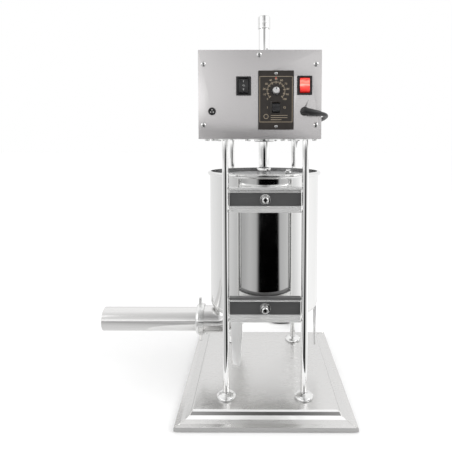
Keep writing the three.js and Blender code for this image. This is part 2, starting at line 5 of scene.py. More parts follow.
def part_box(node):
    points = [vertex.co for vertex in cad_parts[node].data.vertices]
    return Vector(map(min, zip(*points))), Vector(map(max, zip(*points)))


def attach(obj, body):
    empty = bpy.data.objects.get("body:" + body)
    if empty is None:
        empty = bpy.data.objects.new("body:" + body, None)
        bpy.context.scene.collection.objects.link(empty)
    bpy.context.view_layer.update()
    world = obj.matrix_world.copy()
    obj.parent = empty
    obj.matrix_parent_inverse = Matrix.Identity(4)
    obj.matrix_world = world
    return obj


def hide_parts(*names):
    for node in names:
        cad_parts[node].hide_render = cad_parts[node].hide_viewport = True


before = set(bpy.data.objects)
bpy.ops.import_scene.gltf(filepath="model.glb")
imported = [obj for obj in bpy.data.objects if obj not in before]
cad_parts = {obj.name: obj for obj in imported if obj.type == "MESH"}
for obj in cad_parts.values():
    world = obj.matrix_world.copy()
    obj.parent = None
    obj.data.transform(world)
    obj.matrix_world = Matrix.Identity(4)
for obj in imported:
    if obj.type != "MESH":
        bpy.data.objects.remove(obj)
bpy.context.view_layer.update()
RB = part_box("rack_rod")
SX = (RB[0].x + RB[1].x) / 2 * 1000          # column centreline, mm in the row frame
TAU = 2 * math.pi


# ------------------------------------------------------------------ camera
cam_data = bpy.data.cameras.new("camera")
cam = bpy.data.objects.new("camera", cam_data)
bpy.context.scene.collection.objects.link(cam)
cam.location = (SX / 1000 - 0.01957, -0.89114, 0.48899)
cam.rotation_euler = (math.radians(90) - 0.0629, 0.0004, 0.0051)
cam_data.lens = 34.69
cam_data.sensor_width = 36
cam_data.shift_x = -0.0579
cam_data.shift_y = -0.1243
cam_data.clip_start = 0.02
cam_data.clip_end = 60
bpy.context.scene.camera = cam
try:
    bpy.context.scene.view_settings.view_transform = "Standard"
except Exception:
    pass


# ------------------------------------------------------------------ materials
def new_mat(name):
    m = bpy.data.materials.new(name)
    m.use_nodes = True
    nt = m.node_tree
    b = nt.nodes["Principled BSDF"]
    return m, nt, b


def coords(nt, scale):
    tc = nt.nodes.new("ShaderNodeTexCoord")
    mp = nt.nodes.new("ShaderNodeMapping")
    mp.inputs["Scale"].default_value = scale
    nt.links.new(tc.outputs["Object"], mp.inputs["Vector"])
    return mp.outputs["Vector"]


def noise_of(nt, scale, vec_scale=(1, 1, 1), detail=3.0, rough=0.6):
    n = nt.nodes.new("ShaderNodeTexNoise")
    n.inputs["Scale"].default_value = scale
    n.inputs["Detail"].default_value = detail
    n.inputs["Roughness"].default_value = rough
    nt.links.new(coords(nt, vec_scale), n.inputs["Vector"])
    return n.outputs["Fac"]


def ramp(nt, fac, lo, hi, a=0.3, b=0.7):
    r = nt.nodes.new("ShaderNodeMapRange")
    r.inputs["From Min"].default_value = a
    r.inputs["From Max"].default_value = b
    r.inputs["To Min"].default_value = lo
    r.inputs["To Max"].default_value = hi
    nt.links.new(fac, r.inputs["Value"])
    return r.outputs["Result"]


def mix_col(nt, fac, c1, c2):
    m = nt.nodes.new("ShaderNodeMix")
    m.data_type = "RGBA"
    m.inputs["A"].default_value = (*c1, 1)
    m.inputs["B"].default_value = (*c2, 1)
    nt.links.new(fac, m.inputs["Factor"])
    return m.outputs["Result"]


def bump(nt, bsdf, fac, strength, dist):
    b = nt.nodes.new("ShaderNodeBump")
    b.inputs["Strength"].default_value = strength
    b.inputs["Distance"].default_value = dist
    nt.links.new(fac, b.inputs["Height"])
    nt.links.new(b.outputs["Normal"], bsdf.inputs["Normal"])


def steel(name, col, rough, grain=(1, 1, 1), gs=900, var=0.05, spread=0.06, bstr=0.06):
    """Stainless: fine grain drawn out along one axis, cloudy variation of gloss over it."""
    m, nt, b = new_mat(name)
    b.inputs["Metallic"].default_value = 1.0
    g = noise_of(nt, gs, grain, 4, 0.7)
    big = noise_of(nt, 14, (1, 1, 1), 3, 0.55)
    c1 = tuple(max(0, c * (1 - var)) for c in col)
    c2 = tuple(min(1, c * (1 + var)) for c in col)
    nt.links.new(mix_col(nt, ramp(nt, g, 0, 1), c1, c2), b.inputs["Base Color"])
    add = nt.nodes.new("ShaderNodeMath"); add.operation = "ADD"
    nt.links.new(ramp(nt, g, rough - spread, rough + spread), add.inputs[0])
    nt.links.new(ramp(nt, big, -0.025, 0.035), add.inputs[1])
    nt.links.new(add.outputs[0], b.inputs["Roughness"])
    if bstr:
        bump(nt, b, g, bstr, 0.0002)
    return m


def plastic(name, col, rough, gs=1600, bstr=0.12, var=0.25, coat=0.0, spec=0.5):
    m, nt, b = new_mat(name)
    b.inputs["Specular IOR Level"].default_value = spec
    b.inputs["Coat Weight"].default_value = coat
    b.inputs["Coat Roughness"].default_value = 0.12
    g = noise_of(nt, gs, (1, 1, 1), 2, 0.5)
    big = noise_of(nt, 60, (1, 1, 1), 3, 0.6)
    c1 = tuple(c * (1 - var) for c in col)
    c2 = tuple(min(1, c * (1 + var)) for c in col)
    nt.links.new(mix_col(nt, ramp(nt, big, 0, 1), c1, c2), b.inputs["Base Color"])
    nt.links.new(ramp(nt, big, rough - 0.05, rough + 0.05), b.inputs["Roughness"])
    bump(nt, b, g, bstr, 0.00015)
    return m


SATIN_X = steel("steel_brushed_x", (0.68, 0.672, 0.668), 0.32, (0.02, 1, 1), 1500, 0.025, 0.04, 0.012)
# darker copies of the tray steel for the steep face and the apron: painted shade
TRAY_SIDE_PAINTED_SHADE = steel("steel_tray_side_painted_shade", (0.52, 0.517, 0.512), 0.13, (0.02, 1, 1), 1500, 0.015, 0.02, 0.004)
TRAY_APRON_PAINTED_SHADE = steel("steel_tray_apron_painted_shade", (0.40, 0.398, 0.395), 0.2, (0.02, 1, 1), 1500, 0.02, 0.03, 0.004)
# darker copy of the cylinder steel for the inner wall: painted shade inside the vessel
CYL_INSIDE_PAINTED_SHADE = steel("steel_cylinder_inside_painted_shade", (0.30, 0.30, 0.30), 0.22, (1, 1, 0.015), 1200, 0.05, 0.03, 0.01)
LEG = steel("steel_leg", (0.90, 0.90, 0.895), 0.30, (1, 1, 0.02), 1200, 0.02, 0.03, 0.008)
TRAY = steel("steel_tray", (0.68, 0.675, 0.668), 0.27, (0.02, 1, 1), 1500, 0.015, 0.03, 0.006)
# near-white, partly diffuse copy for the slope and the top-edge rounding: painted highlight
TRAY_PAINTED_HIGHLIGHT = steel("steel_tray_edge_painted_highlight", (0.93, 0.93, 0.925), 0.17, (0.02, 1, 1), 1500, 0.015, 0.02, 0.004)
TRAY_PAINTED_HIGHLIGHT.node_tree.nodes["Principled BSDF"].inputs["Metallic"].default_value = 0.35
PANEL = steel("steel_panel", (0.74, 0.722, 0.724), 0.20, (0.015, 1, 1), 1800, 0.02, 0.03, 0.012)
PANEL.node_tree.nodes["Principled BSDF"].inputs["Metallic"].default_value = 0.86
CYL = steel("steel_cylinder", (0.74, 0.74, 0.735), 0.085, (1, 1, 0.015), 1200, 0.03, 0.025, 0.008)
CYL_IN = steel("steel_cylinder_bottom", (0.70, 0.70, 0.69), 0.16, (1, 1, 0.4), 900, 0.03, 0.03, 0.02)
POLISH = steel("steel_polished", (0.86, 0.86, 0.855), 0.045, (1, 1, 0.05), 900, 0.02, 0.01, 0.004)
TUBE = steel("steel_tube", (0.74, 0.735, 0.73), 0.15, (0.02, 1, 1), 1200, 0.03, 0.03, 0.02)
BRACKET = steel("steel_bracket", (0.93, 0.93, 0.925), 0.20, (0.02, 1, 1), 1200, 0.03, 0.03, 0.01)
BRACKET.node_tree.nodes["Principled BSDF"].inputs["Metallic"].default_value = 0.72
# near-black copy of the bracket steel for the web faces and the lower brackets' top faces: painted dark reflection
WEB_PAINTED_DARK_REFLECTION = steel("steel_bracket_web_painted_dark_reflection", (0.085, 0.085, 0.086), 0.40, (0.02, 1, 1), 1200, 0.10, 0.05, 0.02)
WEB_PAINTED_DARK_REFLECTION.node_tree.nodes["Principled BSDF"].inputs["Metallic"].default_value = 0.3
FAST = steel("steel_fastener", (0.78, 0.78, 0.775), 0.14, (1, 1, 1), 700, 0.03, 0.04, 0.02)
KNOBM = steel("knob_metal", (0.93, 0.93, 0.93), 0.30, (1, 1, 1), 1500, 0.04, 0.05, 0.03)
CASTAL = steel("cast_aluminium", (0.36, 0.362, 0.366), 0.40, (1, 1, 1), 600, 0.08, 0.08, 0.25)
WELD = steel("weld_bead", (0.78, 0.775, 0.76), 0.22, (1, 1, 1), 500, 0.08, 0.08, 0.3)
GBOX = plastic("gearbox_paint", (0.045, 0.048, 0.052), 0.42, 900, 0.25)
MOTORP = plastic("motor_paint", (0.022, 0.023, 0.025), 0.38, 900, 0.2)
RUBBER = plastic("foot_rubber", (0.016, 0.016, 0.016), 0.72, 700, 0.35)
CORDM = plastic("cord_rubber", (0.013, 0.013, 0.014), 0.42, 900, 0.15)
SEAL = plastic("silicone", (0.78, 0.76, 0.70), 0.48, 700, 0.1, 0.05)
BLACKP = plastic("black_plastic", (0.012, 0.012, 0.013), 0.30, 1500, 0.12)
ROCKP = plastic("rocker_plastic", (0.016, 0.016, 0.017), 0.22, 1500, 0.05, coat=0.2)
PLATE = plastic("controller_plate", (0.020, 0.016, 0.013), 0.32, 1300, 0.10)
DIALP = plastic("dial_print_dark", (0.012, 0.011, 0.010), 0.36, 1300, 0.06)
GOLDP = plastic("dial_print", (0.40, 0.33, 0.24), 0.45, 1300, 0.03, 0.10)
WHITEP = plastic("mark_white", (0.55, 0.55, 0.54), 0.45, 1300, 0.03, 0.05)
REDP = plastic("mark_red", (0.62, 0.03, 0.02), 0.4, 1300, 0.03, 0.15)
# near-black for screw recesses and sockets: painted shade
RECESS_PAINTED_SHADE = plastic("dark_bore_painted_shade", (0.006, 0.006, 0.006), 0.6, 900, 0.05)


def lamp_red_with_painted_glint():
    m, nt, b = new_mat("red_lamp_plastic_painted_glint")
    lo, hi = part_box("power_rocker")
    tc = nt.nodes.new("ShaderNodeTexCoord")
    sp = nt.nodes.new("ShaderNodeSeparateXYZ")
    nt.links.new(tc.outputs["Object"], sp.inputs[0])
    mr = nt.nodes.new("ShaderNodeMapRange")
    mr.inputs["From Min"].default_value = lo.z
    mr.inputs["From Max"].default_value = hi.z
    nt.links.new(sp.outputs["Z"], mr.inputs["Value"])
    n = noise_of(nt, 240, (0.4, 1, 1), 3, 0.6)
    ad = nt.nodes.new("ShaderNodeMath"); ad.operation = "ADD"
    nt.links.new(mr.outputs["Result"], ad.inputs[0])
    nt.links.new(ramp(nt, n, -0.07, 0.07), ad.inputs[1])
    cr = nt.nodes.new("ShaderNodeValToRGB")
    # colour by height: darker towards both ends, with a pale painted glint band just above the middle, noise shifting
    # it
    st = [(0.0, (0.45, 0.012, 0.010)), (0.22, (0.70, 0.030, 0.022)), (0.40, (0.86, 0.085, 0.065)), (0.52, (0.98, 0.40, 0.33)), (0.60, (0.92, 0.14, 0.10)), (0.74, (0.95, 0.26, 0.20)), (0.88, (0.84, 0.06, 0.045)), (1.0, (0.60, 0.02, 0.015))]
    e = cr.color_ramp.elements
    e[0].position, e[0].color = st[0][0], (*st[0][1], 1)
    e[1].position, e[1].color = st[-1][0], (*st[-1][1], 1)
    for p, c in st[1:-1]:
        q = e.new(p); q.color = (*c, 1)
    nt.links.new(ad.outputs[0], cr.inputs["Fac"])
    nt.links.new(cr.outputs["Color"], b.inputs["Base Color"])
    # the lamp glow takes the same colour, so the painted glint band glows too
    nt.links.new(cr.outputs["Color"], b.inputs["Emission Color"])
    b.inputs["Emission Strength"].default_value = 0.34
    b.inputs["Coat Weight"].default_value = 0.6
    b.inputs["Coat Roughness"].default_value = 0.08
    nt.links.new(ramp(nt, n, 0.12, 0.24), b.inputs["Roughness"])
    bump(nt, b, n, 0.12, 0.0002)
    return m


LAMP_WITH_PAINTED_GLINT = lamp_red_with_painted_glint()


# ------------------------------------------------------------------ mesh building, D frame in mm
class Build:
    def __init__(self):
        self.bm = bmesh.new()
        self.sharp = []

    def ring(self, pts):
        return [self.bm.verts.new(p) for p in pts]

    def bridge(self, a, b, mi=0):
        n = len(a)
        for i in range(n):
            f = self.bm.faces.new((a[i], a[(i + 1) % n], b[(i + 1) % n], b[i]))
            f.material_index = mi

    def fan(self, a, apex, mi=0):
        n = len(a)
        for i in range(n):
            f = self.bm.faces.new((a[i], a[(i + 1) % n], apex))
            f.material_index = mi

    def cap(self, a, mi=0):
        f = self.bm.faces.new(a)
        f.material_index = mi

    def lathe(self, prof, axis="z", u=0, v=0, seg=96, closed=False, mi=0, mis=None):
        def place(r, t, k):
            a = TAU * (k + 0.5) / seg
            c, s = r * math.cos(a), r * math.sin(a)
            return {"z": (u + c, v + s, t), "y": (u + c, t, v + s), "x": (t, u + c, v + s)}[axis]
        rings = []
        for r, t in prof:
            if r < 1e-6:
                rings.append([self.bm.verts.new(place(0, t, 0))])
            else:
                rings.append(self.ring([place(r, t, k) for k in range(seg)]))
        pairs = list(zip(rings, rings[1:]))
        if closed:
            pairs.append((rings[-1], rings[0]))
        for i, (a, b) in enumerate(pairs):
            m = mis[i] if mis else mi
            if len(a) == 1 and len(b) == 1:
                continue
            if len(a) == 1:
                self.fan(b, a[0], m)
            elif len(b) == 1:
                self.fan(a, b[0], m)
            else:
                self.bridge(a, b, m)
        return self

    def prism(self, outline, axis, a, b, mi=0):
        def place(p, t):
            return {"z": (p[0], p[1], t), "x": (t, p[0], p[1]), "y": (p[0], t, p[1])}[axis]
        A = self.ring([place(p, a) for p in outline])
        B = self.ring([place(p, b) for p in outline])
        self.bridge(A, B, mi)
        self.cap(A, mi)
        self.cap(B, mi)
        return self

    def box(self, x0, x1, y0, y1, z0, z1, mi=0):
        return self.prism([(x0, y0), (x1, y0), (x1, y1), (x0, y1)], "z", z0, z1, mi)

    def tube(self, path, r, seg=12, mi=0):
        """round bar along a path; r is a number or one radius per point"""
        P = [Vector(p) for p in path]
        rings = []
        up = None
        for i, p in enumerate(P):
            d = (P[min(i + 1, len(P) - 1)] - P[max(i - 1, 0)]).normalized()
            if up is None:
                up = Vector((0, 0, 1)) if abs(d.z) < 0.9 else Vector((1, 0, 0))
            s = d.cross(up).normalized()
            up = s.cross(d).normalized()
            rr = r[i] if hasattr(r, "__len__") else r
            rings.append(self.ring([p + (s * math.cos(TAU * k / seg) + up * math.sin(TAU * k / seg)) * rr for k in range(seg)]))
        for a, b in zip(rings, rings[1:]):
            self.bridge(a, b, mi)
        self.cap(rings[0], mi)
        self.cap(rings[-1], mi)
        return self

    def make(self, name, mats, body="root", rep=(), bevel=0.0, seg=2, angle=32, row=False, turn=None, limit=38):
        bm = self.bm
        bmesh.ops.recalc_face_normals(bm, faces=bm.faces[:])
        if turn is not None:
            bm.transform(turn)
        me = bpy.data.meshes.new(name)
        if not row:
            bm.transform(Matrix.Diagonal((0.001, 0.001, 0.001, 1)) @ Matrix.Translation((SX, 0, 0)))
        bm.to_mesh(me)
        bm.free()
        return finish_mesh(name, me, mats, body, rep, bevel, seg, angle, limit)


def finish_mesh(name, me, mats, body, rep, bevel, seg, angle, limit=38):
    me.polygons.foreach_set("use_smooth", [True] * len(me.polygons))
    me.set_sharp_from_angle(angle=math.radians(angle))
    mats = mats if isinstance(mats, (list, tuple)) else [mats]
    idx = [min(p.material_index, len(mats) - 1) for p in me.polygons]
    me.materials.clear()
    for m in mats:
        me.materials.append(m)
    me.polygons.foreach_set("material_index", idx)
    o = bpy.data.objects.new(name, me)
    bpy.context.scene.collection.objects.link(o)
    if bevel:
        md = o.modifiers.new("edge", "BEVEL")
        md.width = bevel / 1000
        md.segments = seg
        md.limit_method = "ANGLE"
        md.angle_limit = math.radians(limit)
        md.harden_normals = True
        md.use_clamp_overlap = True
    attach(o, body)
    if rep:
        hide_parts(*rep)
    return o


def refine(node, name, mats, body="root", bevel=0.6, seg=2, angle=32, pick=None, limit=38):
    """A detailed copy of a CAD node: welded, coplanar triangles joined, edges rounded."""
    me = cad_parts[node].data.copy()
    me.name = name
    bm = bmesh.new()
    bm.from_mesh(me)
    bmesh.ops.remove_doubles(bm, verts=bm.verts[:], dist=2e-6)
    bmesh.ops.dissolve_limit(bm, angle_limit=math.radians(0.6), verts=bm.verts[:], edges=bm.edges[:], delimit={"NORMAL"})
    bmesh.ops.recalc_face_normals(bm, faces=bm.faces[:])
    bm.normal_update()
    for f in bm.faces:
        f.material_index = pick(f) if pick else 0
    bm.to_mesh(me)
    bm.free()
    if me.has_custom_normals:
        with bpy.context.temp_override():
            me.normals_split_custom_set_from_vertices([(0, 0, 0)] * len(me.vertices))
    return finish_mesh(name, me, mats, body, (node,), bevel, seg, angle, limit)


def fillet(pts, rad, n=4, closed=False):
    """Rounds the corners of a profile; rad is one radius or one per point."""
    out = []
    m = len(pts)
    for i, p in enumerate(pts):
        r = rad[i] if hasattr(rad, "__len__") else rad
        if (not closed and i in (0, m - 1)) or r <= 0:
            out.append(tuple(p))
            continue
        P, A, C = Vector(p), Vector(pts[i - 1]), Vector(pts[(i + 1) % m])
        a, c = (A - P), (C - P)
        la, lc = a.length, c.length
        if la < 1e-6 or lc < 1e-6:
            out.append(tuple(p)); continue
        a.normalize(); c.normalize()
        half = a.angle(c) / 2
        if half > math.radians(88):
            out.append(tuple(p)); continue
        d = min(r / math.tan(half), la * 0.48, lc * 0.48)
        s, e = P + a * d, P + c * d
        for k in range(n + 1):
            t = k / n
            q = s * (1 - t) ** 2 + P * (2 * t * (1 - t)) + e * t * t
            out.append((q.x, q.y))
    return out


def circle(cx, cy, r, n, ph=0.0):
    return [(cx + r * math.cos(ph + TAU * k / n), cy + r * math.sin(ph + TAU * k / n)) for k in range(n)]


def round_rect(cx, cy, w, h, r, n=5):
    out = []
    for sx, sy, a0 in ((1, 1, 0), (-1, 1, 90), (-1, -1, 180), (1, -1, 270)):
        for k in range(n + 1):
            a = math.radians(a0 + 90 * k / n)
            out.append((cx + sx * (w / 2 - r) + r * math.cos(a), cy + sy * (h / 2 - r) + r * math.sin(a)))
    return out


# ------------------------------------------------------------------ cord first: one curve, then its plug
ROUTE = [
    (0.16415, -0.1633, 0.5391), (0.17145, -0.1623, 0.5381), (0.17825, -0.1595, 0.5372), (0.18405, -0.155, 0.5362),
    (0.18855, -0.1492, 0.5353), (0.19135, -0.1424, 0.5343), (0.19235, -0.1351, 0.5333), (0.19165, -0.114, 0.5312),
    (0.19015, -0.09, 0.5302), (0.18855, -0.06, 0.5294), (0.18795, -0.03, 0.529), (0.18775, 0.01, 0.5289),
    (0.18775, 0.06, 0.5309), (0.18775, 0.1, 0.5334), (0.18775, 0.122, 0.534), (0.18775, 0.14, 0.5338),
    (0.18715, 0.155, 0.5322), (0.18515, 0.169, 0.5276), (0.18185, 0.1815, 0.5196), (0.17795, 0.1916, 0.5086),
    (0.17415, 0.1992, 0.4945), (0.17115, 0.2042, 0.477), (0.16905, 0.2069, 0.455), (0.16805, 0.208, 0.425),
    (0.16795, 0.2083, 0.37), (0.16795, 0.2083, 0.25), (0.16795, 0.2083, 0.13), (0.16775, 0.2083, 0.08),
    (0.16755, 0.2085, 0.055), (0.16735, 0.2088, 0.0472), (0.16725, 0.2106, 0.0361), (0.16715, 0.2157, 0.026),
    (0.16705, 0.2236, 0.0181), (0.16695, 0.2337, 0.013), (0.16685, 0.2448, 0.0112), (0.16685, 0.262, 0.0112),
    (0.16685, 0.278, 0.0112), (0.16685, 0.291, 0.0109)
]


def catmull(P, n=10):
    P = [Vector(p) for p in P]
    out = []
    for i in range(len(P) - 1):
        p1, p2 = P[i], P[i + 1]
        p0 = P[i - 1] if i else p1 * 2 - p2
        p3 = P[i + 2] if i + 2 < len(P) else p2 * 2 - p1
        d0, d1, d2 = [max((b - a).length ** 0.5, 1e-5) for a, b in ((p0, p1), (p1, p2), (p2, p3))]
        t1 = ((p1 - p0) / d0 - (p2 - p0) / (d0 + d1) + (p2 - p1) / d1) * d1
        t2 = ((p2 - p1) / d1 - (p3 - p1) / (d1 + d2) + (p3 - p2) / d2) * d1
        for k in range(n):
            t = k / n
            out.append(p1 + t1 * t + (p2 * 3 - p1 * 3 - t1 * 2 - t2) * t * t + (p1 * 2 - p2 * 2 + t1 + t2) * t ** 3)
    out.append(P[-1])
    return out


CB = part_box("cord_coil")
ccx, ccy = (CB[0].x + CB[1].x) / 2, (CB[0].y + CB[1].y) / 2
coil = []
R_IN, STEP, TURNS = 0.028, 0.00708, 3.25
for i in range(int(TURNS * 16) + 1):
    th = TAU * i / 16
    r = R_IN + STEP * th / TAU
    t = min(1.0, (0.014 + 0.028 * th) / 0.058)
    coil.append((ccx + r * math.cos(th), ccy + r * math.sin(th), 0.0038 + 0.0071 * (1 - t * t * (3 - 2 * t))))
r_out = R_IN + STEP * TURNS
tail = [(ccx - 0.009, ccy + r_out + 0.0001, 0.0042), (ccx - 0.019, ccy + r_out + 0.0001, 0.0064),
        (ccx - 0.0318, ccy + r_out, 0.0087), (ccx - 0.038, ccy + r_out, 0.009)]
line = catmull(ROUTE + coil + tail)
cd = bpy.data.curves.new("power_cord_run", "CURVE")
cd.dimensions = "3D"
cd.bevel_depth = 0.0035
cd.bevel_resolution = 5
cd.use_fill_caps = True
sp = cd.splines.new("POLY")
sp.points.add(len(line) - 1)
for p, q in zip(sp.points, line):
    p.co = (*q, 1)
cd.materials.append(CORDM)
cord = bpy.data.objects.new("power_cord_run", cd)
bpy.context.scene.collection.objects.link(cord)
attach(cord, "root")
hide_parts("power_cord", "cord_coil")

# moulded plug: rounded wedge body, grip ribs, sleeve, two pins
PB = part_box("plug")
px1, py, = PB[1].x * 1000 - SX, (PB[0].y + PB[1].y) * 500
b = Build()
secs = []
for x, hw, z0, z1 in ((0, 6, 3.2, 14.8), (-8, 6.4, 2.9, 15.2), (-16, 7.4, 2.2, 16.5), (-20, 10.2, 1.2, 20.5), (-26, 13.6, 0.6, 23.6),
                      (-34, 14.6, 0.5, 24.6), (-46, 14.8, 0.4, 24.9), (-53, 14.4, 0.7, 24.5), (-54.6, 13.0, 1.8, 23.2)):
    cx_, cz_ = px1 + x, (z0 + z1) / 2
    secs.append(b.ring([(cx_, py + u, cz_ + v) for u, v in round_rect(0, 0, hw * 2, z1 - z0, min(hw, (z1 - z0) / 2) * (0.98 if x > -17 else 0.45))]))
for s0, s1 in zip(secs, secs[1:]):
    b.bridge(s0, s1)
b.cap(secs[0]); b.cap(secs[-1])
for k in range(4):
    x = px1 - 3 - k * 3.2
    b.lathe([(6.1, x - 0.9), (6.75, x - 0.5), (6.75, x + 0.5), (6.1, x + 0.9)], "x", py, 9, 24, True)
for s in (-1, 1):
    b.lathe([(0, px1 - 73.6), (1.7, px1 - 73.2), (2.3, px1 - 71.8), (2.35, px1 - 54), (0, px1 - 54)], "x", py + s * 7, 13, 24, mi=1)
plug = b.make("plug_moulded", [CORDM, FAST], rep=("plug",), bevel=0.5)


# ------------------------------------------------------------------ base tray
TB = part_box("base_tray")
HX, HY = (TB[1].x - TB[0].x) * 500, (TB[1].y - TB[0].y) * 500
edge = [(0, 2), (0, 9), (1.5, 9.2), (9.3, 9.5), (16.5, 12.7), (24.6, 14.9), (28.0, 22), (60, 22)]
prof = fillet(edge, [0, 1.0, 0.8, 2.2, 1.2, 1.0, 3.6, 0], 5)
b = Build()
rings = []
for d, z in prof:
    rings.append(b.ring([(-HX + d, -HY + d, z), (HX - d, -HY + d, z), (HX - d, HY - d, z), (-HX + d, HY - d, z)]))
# bands of the pressed edge: the apron and the lower steep face take darker copies of the tray steel, painted shade; the
# slope and the top-edge rounding a near-white copy, painted highlight
for (a, c), (d, z) in zip(zip(rings, rings[1:]), prof):
    b.bridge(a, c, 3 if d < 0.9 and z < 8.5 else 1 if (16.4 <= d < 24.3) else 2 if 24.3 <= d < 26.6 else 1 if 26.6 <= d < prof[-2][0] - 0.01 else 0)
b.cap(rings[-1])
inner = []
for d, z in [(1.6, 2), (1.6, 7.6), (9.6, 7.9), (17.0, 11.9), (25.6, 12.4), (29.8, 20.4)]:
    inner.append(b.ring([(-HX + d, -HY + d, z), (HX - d, -HY + d, z), (HX - d, HY - d, z), (-HX + d, HY - d, z)]))
for a, c in zip(inner, inner[1:]):
    b.bridge(a, c)
b.cap(inner[-1])
b.bridge(rings[0], inner[0])
# the painted highlight stays on the front and back faces only; the left and right sides go back to plain tray steel
for f in b.bm.faces:
    f.normal_update()
    if f.material_index == 1 and abs(f.normal.x) > abs(f.normal.y):
        f.material_index = 0
tray = b.make("tray_pressed", [TRAY, TRAY_PAINTED_HIGHLIGHT, TRAY_SIDE_PAINTED_SHADE, TRAY_APRON_PAINTED_SHADE], rep=("base_tray",), angle=34)
me = tray.data
for e in me.edges:
    v0, v1 = me.vertices[e.vertices[0]].co, me.vertices[e.vertices[1]].co
    if abs(abs(v1.x - v0.x) - abs(v1.y - v0.y)) < 1e-5 and abs(v1.x - v0.x) > 1e-5:
        e.use_edge_sharp = True
# ground weld along each mitre
for k, (sx, sy) in enumerate(((-1, -1), (1, -1), (1, 1), (-1, 1))):
    b = Build()
    path = [(sx * (HX - d - 0.1), sy * (HY - d - 0.1), z + 0.05) for d, z in prof[4:-1]]
    b.tube(path, [0.7 + 0.12 * math.sin(7.1 * i + k) for i in range(len(path))], 8)
    b.make("tray_weld_%d" % k, WELD, angle=80)

# ------------------------------------------------------------------ feet, columns, flanges
for n, sx, sy in (("front_left", -1, -1), ("front_right", 1, -1), ("rear_left", -1, 1), ("rear_right", 1, 1)):
    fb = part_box("rubber_foot_" + n)
    fx, fy = (fb[0].x + fb[1].x) * 500 - SX, (fb[0].y + fb[1].y) * 500
    b = Build()
    b.lathe(fillet([(0, 1.2), (5, 1.2), (6.5, 0), (12, 0), (13.4, 1.4), (12, 20.0), (0, 20.0)], [0, .5, .5, .8, 1.5, .6, 0], 3), "z", fx, fy, 48)
    b.make("foot_" + n, RUBBER, rep=("rubber_foot_" + n,))
    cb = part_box("column_" + n)
    cx, cy = (cb[0].x + cb[1].x) * 500 - SX, (cb[0].y + cb[1].y) * 500
    b = Build()
    b.lathe([(0, cb[0].z * 1000), (5.7, cb[0].z * 1000), (6, cb[0].z * 1000 + 0.4), (6, cb[1].z * 1000 - 0.5), (5.6, cb[1].z * 1000), (0, cb[1].z * 1000)], "z", cx, cy, 64)
    b.make("column_bar_" + n, POLISH, rep=("column_" + n,))
    b = Build()
    z0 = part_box("column_flange_" + n)[0].z * 1000
    fl = fillet([(6.3, z0), (17.7, z0), (18, z0 + 1.2), (17.2, z0 + 3.8), (13.4, z0 + 6.7), (8.4, z0 + 8.2), (6.9, z0 + 8.9), (6.3, z0 + 8.9)], [0, .3, .6, 1.6, 3, 1.5, .6, 0], 5)
    b.lathe(fl, "z", cx, cy, 72, True)
    b.make("flange_" + n, FAST, rep=("column_flange_" + n,))
    # set screw on the outer side of each flange
    b = Build()
    b.lathe([(0, sx * 16.9), (1.6, sx * 16.9), (1.9, sx * 16.2), (1.9, sx * 12), (0, sx * 12)], "x", cy, z0 + 3.4, 20)
    for v in b.bm.verts:
        v.co.x += cx
    b.make("flange_screw_" + n, FAST)

